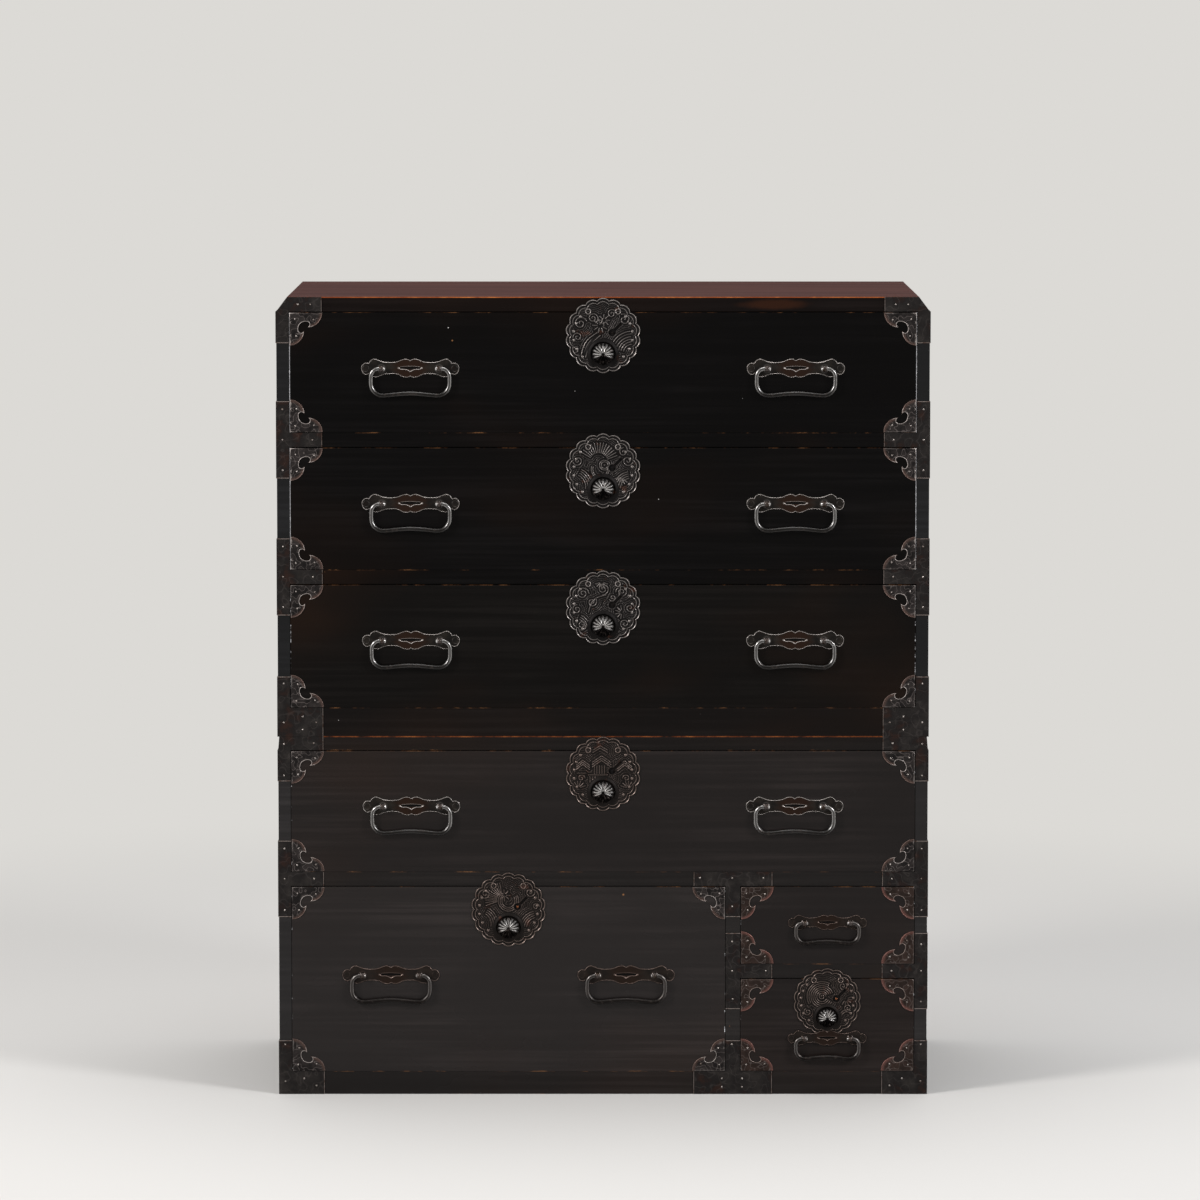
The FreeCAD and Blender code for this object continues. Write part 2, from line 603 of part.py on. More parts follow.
def bail(name, share, depth, x, y, z):
    """The swinging handle as it hangs: pins, round shoulders, arms and a grip bowed up in the middle."""
    reach, corner = f"(bail_reach * {share})", f"(bail_corner_radius * {share})"
    shoulder_x = f"(eye_spread * {share} + eye_length / 2 + shoulder_gap)"
    shoulder = f"({reach} - {shoulder_x})"
    corner_x, corner_z = f"({reach} - {corner})", f"(-{depth} + {corner})"
    bow_radius = f"({corner_x} / sin(bail_bow) - {corner})"
    bow_z = f"({corner_z} - {corner_x} / tan(bail_bow))"
    right = bend(corner_x, corner_z, corner, "-90 - bail_bow", "0", BEND_FLATS) \
        + bend(shoulder_x, f"-{shoulder}", shoulder, "0", "90", BEND_FLATS)
    left = [(f"-({corner_x})", corner_z) for corner_x, corner_z in reversed(right)]
    bow = bend("0", bow_z, bow_radius, "90 + bail_bow", "90 - bail_bow", BOW_FLATS)[1:-1]

    body = doc.addObject("PartDesign::Body", name)
    path = sketch_on(body, "XZ_Plane", "path")
    chain(path, left + bow + right, closed=False)
    bar = sketch_on(body, "YZ_Plane", "bar", lift=f"-{shoulder_x}")
    half_flat = 180 / BAR_FLATS
    bar_radius = f"bail_bar / 2 / cos({half_flat})"
    chain(bar, bend("0", "0", bar_radius, half_flat, 360 + half_flat, BAR_FLATS)[:-1])
    sweep = body.newObject("PartDesign::AdditivePipe", f"{name}_sweep")
    sweep.Profile = bar
    sweep.Spine = path
    sweep.Transition = "Right corner"
    pin = sketch_on(body, "YZ_Plane", "pin", lift=f"-{shoulder_x}")
    chain(pin, block_ring("-pin_width / 2", "pin_width / 2", "-pin_width / 2", "pin_width / 2"))
    left_pin = pad(body, pin, "shoulder_gap + eye_length + pin_end")
    both_pins = body.newObject("PartDesign::Mirrored", f"{name}_pins")
    both_pins.Originals = [left_pin]
    both_pins.MirrorPlane = (origin_plane(body, "YZ_Plane"), [""])
    body.Tip = both_pins
    return place(body, x, y, z)


# A lock's own origin is on the button's axis, at the outer face of the drawer's front.


def lock_plate(name, small):
    """A disc with a ring of lobes, dished inside its rim and pierced for the stem and the key."""
    radius, centre = f"{small}lock_plate_radius", f"{small}button_drop"
    body = doc.addObject("PartDesign::Body", name)
    face = sketch_on(body, "XZ_Plane", "face")
    chain(face, round_ring(f"({radius} - lock_lobe_radius)", SIZES["lock_lobes"]))
    pad(body, face, "lock_plate_thickness")
    lobe = sketch_on(body, "XZ_Plane", "lobe")
    chain(lobe, round_ring("lock_lobe_radius", LOCK_LOBE_FLATS, "0", f"{radius} - lock_lobe_radius"))
    first_lobe = pad(body, lobe, "lock_plate_thickness")
    lobes = body.newObject("PartDesign::PolarPattern", f"{name}_lobes")
    lobes.Originals = [first_lobe]
    lobes.Axis = (origin_plane(body, "Y_Axis"), [""])
    bind(lobes, {"Occurrences": "lock_lobes"})
    body.Tip = lobes
    dish = sketch_on(body, "XZ_Plane", "dish", lift="lock_plate_thickness")
    chain(dish, round_ring(f"({radius} - rim_width)", SIZES["lock_lobes"]))
    pocket(body, dish, "dish_depth")
    stem = sketch_on(body, "XZ_Plane", "stem")
    half = f"{STEM_HOLE} / 2"
    chain(stem, block_ring(f"-{half}", half, f"-{centre} - {half}", f"-{centre} + {half}"))
    pocket(body, stem, through=True)
    keyhole = sketch_on(body, "XZ_Plane", "keyhole")
    chain(keyhole, round_ring("keyhole_radius", KEYHOLE_FLATS, "keyhole_side", "keyhole_rise"))
    pocket(body, keyhole, through=True)
    slot = sketch_on(body, "XZ_Plane", "key_slot")
    edge, end = "key_slot_width / 2 / sqrt(2)", "key_slot_length / sqrt(2)"
    chain(slot, [(f"keyhole_side + {edge}", f"keyhole_rise - {edge}"),
                 (f"keyhole_side + {end} + {edge}", f"keyhole_rise + {end} - {edge}"),
                 (f"keyhole_side + {end} - {edge}", f"keyhole_rise + {end} + {edge}"),
                 (f"keyhole_side - {edge}", f"keyhole_rise + {edge}")])
    pocket(body, slot, through=True)
    return body


def lock_button(name, small, x, y, z):
    """A chrysanthemum head on a square stem, whose slanted tip lifts the bolt."""
    under, radius = "(lock_plate_thickness + button_gap + button_travel)", f"{small}button_radius"
    width = f"(2 * {radius} * sin(180 / petals) - petal_groove)"
    body = doc.addObject("PartDesign::Body", name)
    side = sketch_on(body, "YZ_Plane", "petal", lift=f"-{width} / 2")
    chain(side, [(f"-{under}", "0"), (f"-{under}", radius), (f"-{under} - petal_rim", radius),
                 (f"-{under} - button_height", f"{radius} * crown_share"), (f"-{under} - button_height", "0")])
    first_petal = pad(body, side, width)
    petals = body.newObject("PartDesign::PolarPattern", f"{name}_petals")
    petals.Originals = [first_petal]
    petals.Axis = (origin_plane(body, "Y_Axis"), [""])
    bind(petals, {"Occurrences": "petals"})
    body.Tip = petals
    stem = sketch_on(body, "YZ_Plane", "stem", lift="-stem_width / 2")
    half, slant = "stem_width / 2", "stem_width / 2 / bolt_lift_ratio"
    chain(stem, [(f"-{under}", f"-{half}"), (f"{TIP_Y} + {slant}", f"-{half}"),
                 (f"{TIP_Y} - {slant}", half), (f"-{under}", half)])
    pad(body, stem, "stem_width")
    return place(body, x, y, z)


def lock_bolt(name, small, x, y, z):
    """A flat bolt whose slanted foot stands on the stem's tip."""
    body = doc.addObject("PartDesign::Body", name)
    side = sketch_on(body, "YZ_Plane", "side", lift="-bolt_width / 2")
    front_foot = f"bolt_lift_ratio * ({TIP_Y} - {BOLT_FRONT}) + foot_gap"
    top = f"lock_drop + {small}button_drop - top_gap - bolt_rest"
    chain(side, [(BOLT_FRONT, front_foot), (BOLT_BACK, f"-{BOLT_FOOT}"), (BOLT_BACK, top), (BOLT_FRONT, top)])
    pad(body, side, "bolt_width")
    return place(body, x, y, z)


def lock_case(name, small):
    """The box let into the back of the front, open at the top for the bolt."""
    top = f"lock_drop + {small}button_drop - top_gap"
    cavity_low = f"-({BOLT_FOOT} + bolt_clearance)"
    low = f"{cavity_low} - lock_floor"
    blank = board(f"{name}_blank", "-lock_case_width / 2", "front_web", low,
                  "lock_case_width", "front_thickness - front_web", f"{top} - ({low})")
    cavity = board(f"{name}_cavity", "-bolt_width / 2 - bolt_clearance", "front_web + lock_wall", cavity_low,
                   "bolt_width + 2 * bolt_clearance", "bolt_thickness + 2 * bolt_clearance",
                   f"{top} - {cavity_low}")
    hole = board(f"{name}_hole", f"-{STEM_HOLE} / 2", "front_web", f"-{STEM_HOLE} / 2",
                 STEM_HOLE, "lock_wall", STEM_HOLE)
    return cut(name, blank, [cavity, hole])


# ---- what each drawer's front carries ----

def corner_plates(index, drawer):
    x, y, z = drawer["x"], drawer["y"], drawer["z"]
    left, right = f"{x} + corner_margin", f"{x} + {drawer['width']} - corner_margin"
    low, high = f"{z} + corner_margin", f"{z} + {drawer['height']} - corner_margin"
    spots = [("low_left", left, low, 0), ("low_right", right, low, -90),
             ("high_right", right, high, 180), ("high_left", left, high, 90)]
    return [copy_of(CORNER_PLATE, f"corner_{index}_{spot}", spot_x, y, spot_z, turn)
            for spot, spot_x, spot_z, turn in spots]


def handle(drawer, spread, bail_name):
    """One bail in the eyes of its plate. On the smallest locked drawer the plate lies over the lock's rim."""
    forward = "lock_plate_thickness" if drawer["lock"] == "small_" else "0"
    share = drawer["share"]
    depth = "small_bail_depth" if share == "small_handle_share" else "bail_depth"
    x, z = f"{drawer['middle']} + ({spread})", f"{drawer['opening_top']} - {drawer['handle_drop']}"
    plate_y = f"{drawer['y']} - {forward}"
    pivot_y = f"{plate_y} - handle_plate_thickness - eye_flat"
    bail(bail_name, share, depth, x, pivot_y, z)
    plate = HANDLE_PLATES[share]
    pieces = [copy_of(plate, f"{bail_name}_plate", x, plate_y, z)]
    for side, sign in (("left", "-"), ("right", "+")):
        pieces.append(copy_of(EYE_POST, f"{bail_name}_{side}_eye", f"{x} {sign} eye_spread * {share}", pivot_y, z))
    return pieces


def lock(index, drawer):
    small = drawer["lock"]
    x, y = drawer["middle"], drawer["y"]
    z = f"{drawer['opening_top']} - lock_drop - {small}button_drop"
    lock_button(f"lock_button_{index}", small, x, y, z)
    lock_bolt(f"lock_bolt_{index}", small, x, y, z)
    return [copy_of(LOCK_PLATES[small], f"lock_plate_{index}", x, y, f"{z} + {small}button_drop"),
            place(lock_case(f"lock_case_{index}", small), x, y, z)]


def ironwork(index, drawer):
    pieces = corner_plates(index, drawer)
    for side, spread in drawer["bails"].items():
        pieces += handle(drawer, spread, f"bail_{index}{side}")
    if drawer["lock"] is not None:
        pieces += lock(index, drawer)
    group(f"drawer_{index}_ironwork", pieces)


upper_case()
lower_case()
case_irons()
CORNER_PLATE = corner_plate()
EYE_POST = eye_post("eye_post")
HANDLE_PLATES = {share: handle_plate(name, share) for share, name in
                 (("1", "handle_plate"), ("small_handle_share", "small_handle_plate"))}
LOCK_PLATES = {"": lock_plate("lock_plate", ""), "small_": lock_plate("small_lock_plate", "small_")}
for index, drawer in DRAWERS.items():
    drawer_front(index, drawer)
    drawer_box(index, drawer)
    ironwork(index, drawer)
doc.recompute()

# ---- checks, and the files ----

NODES = ["upper_side_boards", "upper_top_board", "upper_front_rails", "upper_base_rail", "upper_dust_boards",
         "upper_back_board", "upper_corner_irons", "lower_side_boards", "lower_top_board", "lower_front_rails",
         "lower_base_rail", "lower_dust_boards", "lower_partition", "lower_back_board", "lower_corner_irons"]
for index, drawer in DRAWERS.items():
    NODES += [f"drawer_{index}_front", f"drawer_{index}_box", f"drawer_{index}_ironwork"]
    NODES += [f"bail_{index}{side}" for side in drawer["bails"]]
    if drawer["lock"] is not None:
        NODES += [f"lock_button_{index}", f"lock_bolt_{index}"]

faults = [f"{thing.Label}: {state}" for thing in doc.Objects for state in thing.State
          if state in ("Invalid", "Error")]
shapes = {name: doc.getObject(name).Shape for name in NODES}
faults += [f"{name}: no valid shape" for name, shape in shapes.items() if shape.isNull() or not shape.isValid()]
if faults:
    raise RuntimeError("; ".join(faults))

os.makedirs("parts", exist_ok=True)
for name, shape in shapes.items():
    shape.exportStep(f"parts/{name}.step")
    print(name, len(shape.Solids), "solids", round(shape.Volume / 1000, 1), "cm3")
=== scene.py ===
# A clothes chest in two stacked parts: dark lacquered wood, iron fittings, seven drawers.
import math

import bmesh
import bpy
import numpy as np
from mathutils.geometry import delaunay_2d_cdt
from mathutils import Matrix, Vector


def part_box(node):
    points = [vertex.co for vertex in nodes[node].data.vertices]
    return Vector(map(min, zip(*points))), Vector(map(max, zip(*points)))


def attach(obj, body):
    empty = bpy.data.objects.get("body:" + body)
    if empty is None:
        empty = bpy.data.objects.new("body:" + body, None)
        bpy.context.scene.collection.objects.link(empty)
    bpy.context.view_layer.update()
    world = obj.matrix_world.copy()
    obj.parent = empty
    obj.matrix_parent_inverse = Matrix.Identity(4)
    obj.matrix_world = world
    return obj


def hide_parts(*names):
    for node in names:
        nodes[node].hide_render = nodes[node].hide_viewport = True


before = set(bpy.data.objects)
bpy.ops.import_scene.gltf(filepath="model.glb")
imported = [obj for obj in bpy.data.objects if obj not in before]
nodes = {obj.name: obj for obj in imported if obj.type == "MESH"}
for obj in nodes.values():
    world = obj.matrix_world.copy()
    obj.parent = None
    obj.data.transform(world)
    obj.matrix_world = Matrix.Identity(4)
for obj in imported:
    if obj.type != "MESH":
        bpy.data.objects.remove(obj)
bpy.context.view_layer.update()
scene = bpy.context.scene
mm = 0.001
print("frame loaded:", len(nodes), "nodes")


def hexColour(text):
    parts = [int(text[i:i + 2], 16) / 255 for i in (1, 3, 5)]
    return [c / 12.92 if c <= 0.04045 else ((c + 0.055) / 1.055) ** 2.4 for c in parts] + [1.0]


def addNode(tree, kind, inputs=(), output=0, **settings):
    # Adds one node with its settings, sets or links its inputs, by name or in order, and gives back one of its outputs.
    node = tree.nodes.new(kind if "Node" in kind else "ShaderNode" + kind)
    for name, value in settings.items():
        setattr(node, name, value)
    for socket, value in inputs.items() if isinstance(inputs, dict) else enumerate(inputs):
        if isinstance(value, str) and value[0] == "#":
            value = hexColour(value)
        if isinstance(value, bpy.types.NodeSocket):
            tree.links.new(value, node.inputs[socket])
        else:
            node.inputs[socket].default_value = value
    return node.outputs[output] if node.outputs else node


softStep = {"interpolation_type": "SMOOTHSTEP"}
colourMix = {"output": 2, "data_type": "RGBA"}


def startMaterial(name):
    material = bpy.data.materials.new(name)
    material.use_nodes = True
    tree = material.node_tree
    tree.nodes.clear()
    return material, tree, addNode(tree, "TexCoord", output="Object")


def finishMaterial(material, colour, coats, roughness, height, bumpStrength, bumpDepth, **fixed):
    # Lays each coat, which is where it shows and its colour, over the first colour, and joins all to the surface.
    tree = material.node_tree
    for share, coat in coats:
        colour = addNode(tree, "Mix", {0: share, 6: colour, 7: coat}, **colourMix)
    normal = addNode(tree, "Bump", {"Height": height, "Strength": bumpStrength, "Distance": bumpDepth})
    surface = {"Base Color": colour, "Roughness": roughness, "Normal": normal, **fixed}
    addNode(tree, "OutputMaterial", {"Surface": addNode(tree, "BsdfPrincipled", surface)})
    return material


def patchy(tree, place, scale, detail, roughness, low, high, most=1.0, stretch=None):
    # Noise, drawn out where a stretch is given, and how much of it shows between low and high.
    if stretch:
        place = addNode(tree, "Mapping", {"Vector": place, "Scale": stretch})
    noise = addNode(tree, "TexNoise", {"Vector": place, "Scale": scale, "Detail": detail, "Roughness": roughness})
    return noise, addNode(tree, "MapRange", {0: noise, 1: low, 2: high, 4: most}, **softStep)


def facingShare(tree, axis):
    # 1 on the faces that look along this axis
    along = addNode(tree, "SeparateXYZ", [addNode(tree, "NewGeometry", output="True Normal")], axis)
    return addNode(tree, "MapRange", [along, 0.4, 0.6])


lacquer = {
    # pale is the grey-white of a painted highlight along the drawer fronts' side arrises
    "ground": "#3f2517", "bare": "#7f5838", "stain": "#2a1a10", "pale": ("#8a898b", "#e6e6e8"), "speck": "#b9b5b3",
    "chips": (34.0, 0.06), "specks": (52.0, 0.05),  # cells in a metre, and a mark's size in its cell
    "roughness": (0.22, 0.36), "topRoughness": 0.85, "bareRoughness": 0.4, "bareBack": ("#7d6040", "#a98a62"),
}


def lacquerOnWood(name, tone, arrises, chips, warm, gloss, specks=0.0, patch=None, topColours=None, bareBack=False):
    # Brushed and rubbed black lacquer over a red-brown ground: deep, softly glossy, rubbed through at the arrises.
    # Each arris is (axis, place, other axis, place, width, strength) in mm, with its colours where it has its own; an
    # arris in the pale colours is a painted highlight.
    material, tree, place = startMaterial(name)
    axes = addNode(tree, "SeparateXYZ", [place]).node.outputs
    dark = hexColour(tone)
    light = [min(1, c * 2.3 + 0.0008) for c in dark[:3]] + [1]
    grain, streaks = patchy(tree, place, 1.0, 5.0, 0.6, 0.38, 0.72, stretch=(3, 90, 140))  # lines 7 mm apart
    clouds, rubbed = patchy(tree, place, 3.2, 4.0, 0.55, 0.3, 0.75, stretch=(1.0, 1.0, 2.2))  # patches of 30 cm
    broken, shades = patchy(tree, place, 70.0, 4.0, 0.7, 0.45, 0.75, stretch=(0.4, 1, 1))  # breaks of 5 to 30 mm
    coats = [(addNode(tree, "Math", [streaks, rubbed], operation="MULTIPLY"), light)]
    if warm:  # brown patches, half a metre
        coats.append((patchy(tree, place, 2.1, 3.0, 0.5, 0.48, 0.72, warm, (1, 1, 2))[1], lacquer["stain"]))
    if topColours:
        upward = facingShare(tree, 2)
        faded = patchy(tree, place, 1.0, 6.0, 0.65, 0.3, 0.7, stretch=(2, 45, 45))[1]
        coats.append((upward, addNode(tree, "Mix", {0: faded, 6: topColours[0], 7: topColours[1]}, **colourMix)))
    if patch:  # rubbed, with a soft, broken edge
        x, z, wide, high, tint, strength = patch
        centred = addNode(tree, "Mapping", {"Vector": place, "Location": (-x / wide, 0, -z / high),
                                            "Scale": (1 / (wide * mm), 0, 1 / (high * mm))})
        reach = addNode(tree, "VectorMath", [centred], "Value", operation="LENGTH")
        reach = addNode(tree, "Math", [broken, 0.7, reach], operation="MULTIPLY_ADD")
        coats.append((addNode(tree, "MapRange", {0: reach, 1: 1.35, 2: 0.75, 4: strength}, **softStep), tint))
    for axis, spot, other, otherSpot, wide, strength, *colours in arrises:
        gaps = []
        for letter, at in ((axis, spot), (other, otherSpot)):
            gap = addNode(tree, "Math", [axes[letter], at * mm], operation="SUBTRACT")
            gaps.append(addNode(tree, "Math", [gap], operation="ABSOLUTE"))
        near = addNode(tree, "Math", [gaps[0], gaps[1]], operation="MAXIMUM")
        near = addNode(tree, "MapRange", [near, wide * mm, wide * 0.35 * mm], **softStep)
        # on an arris in the pale colours this is a painted highlight; on the others it is wear through to the ground
        wornAndHighlight = {0: broken, 1: 0.66 - 0.45 * strength, 2: 0.74 - 0.3 * strength}
        wornAndHighlight = addNode(tree, "Math", [near, addNode(tree, "MapRange", wornAndHighlight, **softStep)], operation="MULTIPLY")
        low, high = colours or (lacquer["ground"], lacquer["bare"])
        coats.append((wornAndHighlight, addNode(tree, "Mix", {0: shades, 6: low, 7: high}, **colourMix)))
    for share, tint, (cells, size) in ((chips, lacquer["bare"], lacquer["chips"]),
                                       (specks, lacquer["speck"], lacquer["specks"])):
        if share:
            cell = addNode(tree, "TexVoronoi", {"Vector": place, "Scale": cells}).node.outputs
            lucky = addNode(tree, "SeparateColor", [cell["Color"]])
            lucky = addNode(tree, "Math", [lucky, 1.0 - share], operation="GREATER_THAN")
            mark = addNode(tree, "MapRange", [cell["Distance"], size, size / 2], **softStep)
            coats.append((addNode(tree, "Math", [mark, lucky], operation="MULTIPLY"), tint))
    low, high = lacquer["roughness"]
    rough = addNode(tree, "MapRange", [clouds, 0.25, 0.8, low, high], **softStep)
    if topColours:
        matt = addNode(tree, "Math", [upward, lacquer["topRoughness"]], operation="MULTIPLY")
        rough = addNode(tree, "Math", [rough, matt], operation="MAXIMUM")
    if bareBack:  # the hidden face is left unlacquered
        inward = facingShare(tree, 1)
        rings = patchy(tree, place, 1.0, 6.0, 0.6, 0.35, 0.65, stretch=(1.2, 1.2, 28))[1]
        low, high = lacquer["bareBack"]
        coats.append((inward, addNode(tree, "Mix", {0: rings, 6: low, 7: high}, **colourMix)))
        rough = addNode(tree, "Math", [inward, lacquer["bareRoughness"], rough], operation="MULTIPLY_ADD")
    # old rubbed lacquer shines less than new, whose index of refraction is 1.5
    return finishMaterial(material, dark, coats, rough, grain, 0.06, 0.0004, IOR=gloss)


def bareWood(name, light, dark):
    # Planed paulownia and cedar, gone brown with age: broad open grain along the board, no finish.
    # Rings 20 to 40 mm apart lie along X on level boards and along the board on standing ones.
    material, tree, place = startMaterial(name)
    facing = addNode(tree, "SeparateXYZ", [addNode(tree, "NewGeometry", output="True Normal")], 2)
    facing = addNode(tree, "Math", [facing], operation="ABSOLUTE")
    level = addNode(tree, "Math", [facing, 0.7], operation="GREATER_THAN")
    standing = addNode(tree, "Mapping", {"Vector": place, "Scale": (1.2, 1.2, 28)})
    lying = addNode(tree, "Mapping", {"Vector": place, "Scale": (1.2, 28, 28)})
    along = addNode(tree, "Mix", {0: level, 4: standing, 5: lying}, 1, data_type="VECTOR")
    rings = addNode(tree, "TexNoise", {"Vector": along, "Scale": 1.0, "Detail": 6.0, "Roughness": 0.6})
    fibre = addNode(tree, "TexNoise", {"Vector": along, "Scale": 9.0, "Detail": 3.0, "Roughness": 0.6})
    mixed = addNode(tree, "Mix", {0: 0.25, 2: rings, 3: fibre}, data_type="FLOAT")
    shade = addNode(tree, "MapRange", [mixed, 0.35, 0.65], **softStep)
    rough = addNode(tree, "MapRange", [mixed, 0.3, 0.7, 0.78, 0.64])
    return finishMaterial(material, dark, [(shade, light)], rough, mixed, 0.25, 0.0005)


def engraving(tree, place, scale):
    # wandering chased lines, about 1 mm wide, where a smooth noise passes its middle value
    away = addNode(tree, "TexNoise", {"Vector": place, "Scale": scale, "Detail": 0.0})
    away = addNode(tree, "Math", [away, 0.5], operation="SUBTRACT")
    away = addNode(tree, "Math", [away], operation="ABSOLUTE")
    return addNode(tree, "MapRange", [away, 0.035, 0.012], **softStep)


def blackenedIron(name, tone, bright, rust, rustShare=0.3, roughness=(0.42, 0.62), chased=0.0):
    # Hammered sheet iron, blackened with lacquer: an uneven dull metal with rust-brown patches.
    material, tree, place = startMaterial(name)
    patches, shade = patchy(tree, place, 45.0, 5.0, 0.6, 0.4, 0.75)  # patches about 2 cm
    pits = addNode(tree, "TexNoise", {"Vector": place, "Scale": 700.0, "Detail": 2.0})  # pits of 1.5 mm
    rusty = addNode(tree, "MapRange", [patches, 0.58 - 0.3 * rustShare, 0.28], **softStep)
    coats = [(shade, bright), (rusty, rust)]
    height = addNode(tree, "Math", [pits, patches], operation="ADD")
    if chased:
        lines = engraving(tree, place, 95.0)
        coats.append((addNode(tree, "Math", [lines, chased], operation="MULTIPLY"), "#8a817d"))
        height = addNode(tree, "Math", [height, lines], operation="ADD")
    rough = addNode(tree, "MapRange", [pits, 0.3, 0.7, roughness[0], roughness[1]])
    return finishMaterial(material, tone, coats, rough, height, 0.35, 0.0003, Metallic=0.75)


def cornerIron(name, tone, bright, band, wornAndHighlight, engraved):
    # Blackened corner plates: the round lobes' rims are rubbed through to a pinkish brown band.
    # The "local" attribute is the place from the plate's own corner, in metres.
    material, tree, place = startMaterial(name)
    local = addNode(tree, "Attribute", output="Vector", attribute_name="local")
    local = addNode(tree, "SeparateXYZ", [local]).node.outputs
    along = addNode(tree, "Math", [local[0], local[1]], operation="MAXIMUM")
    across = addNode(tree, "Math", [local[0], local[1]], operation="MINIMUM")
    fromLobe = addNode(tree, "Math", [along, 0.025], operation="SUBTRACT")
    fromLobe = addNode(tree, "CombineXYZ", [fromLobe, across])
    reach = addNode(tree, "VectorMath", [fromLobe], "Value", operation="LENGTH")
    patches, shade = patchy(tree, place, 75.0, 5.0, 0.6, 0.35, 0.7)  # patches about 13 mm
    reach = addNode(tree, "Math", [patches, 0.004, reach], operation="MULTIPLY_ADD")
    rim = addNode(tree, "MapRange", [reach, 0.0165, 0.0215], **softStep)
    outer = addNode(tree, "MapRange", [along, 0.019, 0.027], **softStep)
    rim = addNode(tree, "Math", [rim, outer], operation="MULTIPLY")
    lines = addNode(tree, "Math", [engraving(tree, place, 150.0), engraved], operation="MULTIPLY")
    # relief brings in the rubbed rims and the painted highlight along the plates' side edges
    ridge = addNode(tree, "Attribute", output="Fac", attribute_name="relief")
    ridge = addNode(tree, "MapRange", [ridge, 0.25, 0.95], **softStep)
    rough = addNode(tree, "MapRange", [patches, 0.3, 0.7, 0.38, 0.58])
    height = addNode(tree, "Math", [lines, patches], operation="ADD")
    coats = [(shade, bright), (lines, "#8d8380"), (rim, band), (ridge, wornAndHighlight)]
    return finishMaterial(material, tone, coats, rough, height, 0.4, 0.0003, Metallic=0.8)


def wornIron(name, tone, brown, roughness):
    # Iron rubbed bright by hands and cloths, brown where they don't reach.
    material, tree, place = startMaterial(name)
    rubbed, shade = patchy(tree, place, 160.0, 4.0, 0.6, 0.45, 0.68)  # patches about 6 mm
    rough = addNode(tree, "MapRange", [rubbed, 0.3, 0.7, roughness * 0.85, roughness * 1.3])
    return finishMaterial(material, tone, [(shade, brown)], rough, rubbed, 0.1, 0.0002, Metallic=1.0)


def rubbedAndHighlightedIron(name, dull, bright, roughness):
    # Forged iron that hands have polished, with a painted highlight: "relief" is 1 where it is painted bright, partly
    # rubbed and partly lit, and 0 where it stays grey.
    material, tree, place = startMaterial(name)
    forged, marks = patchy(tree, place, 220.0, 3.0, 0.5, 0.5, 0.7)  # marks about 4 mm
    rubbed = addNode(tree, "Attribute", output="Fac", attribute_name="relief")
    colour = addNode(tree, "Mix", {0: rubbed, 6: dull, 7: bright}, **colourMix)
    shaded = addNode(tree, "Mix", {0: 0.55, 6: colour, 7: "#4a4340"}, **colourMix)
    rough = addNode(tree, "MapRange", {0: rubbed, 3: roughness * 1.5, 4: roughness})
    return finishMaterial(material, colour, [(marks, shaded)], rough, forged, 0.12, 0.0003, Metallic=1.0)


def chasedIron(name, low, high, ridge, rust, spots=1.0):
    # Chased sheet iron. "relief" is 1 on rubbed ridges and on painted sheen, 0 in the ground and below 0 in pits
    # painted black as shade, and "rust" is 1 where it browns.
    material, tree, place = startMaterial(name)
    relief = addNode(tree, "Attribute", output="Fac", attribute_name="relief")
    browned = addNode(tree, "Attribute", output="Fac", attribute_name="rust")
    patches, shade = patchy(tree, place, 60.0, 5.0, 0.6, 0.35, 0.7)  # patches about 16 mm
    spotted = addNode(tree, "MapRange", {0: patches, 1: 0.42, 2: 0.3, 4: spots}, **softStep)
    thick = addNode(tree, "MapRange", [patches, 0.2, 0.45], **softStep)
    rusty = addNode(tree, "Math", [browned, thick], operation="MULTIPLY")
    rusty = addNode(tree, "Math", [rusty, spotted], operation="MAXIMUM")
    shine = addNode(tree, "MapRange", [relief, 0.3, 0.95], **softStep)
    # pits below 0 are painted near black as shade
    paintedPitShade = addNode(tree, "MapRange", [relief, -0.15, -0.7], **softStep)
    rough = addNode(tree, "MapRange", [relief, 0.2, 0.9, 0.52, 0.32])
    pits = addNode(tree, "TexNoise", {"Vector": place, "Scale": 900.0, "Detail": 2.0})  # pits about 1 mm
    coats = [(shade, high), (rusty, rust), (shine, ridge), (paintedPitShade, "#040303")]
    return finishMaterial(material, low, coats, rough, pits, 0.25, 0.0002, Metallic=0.85)


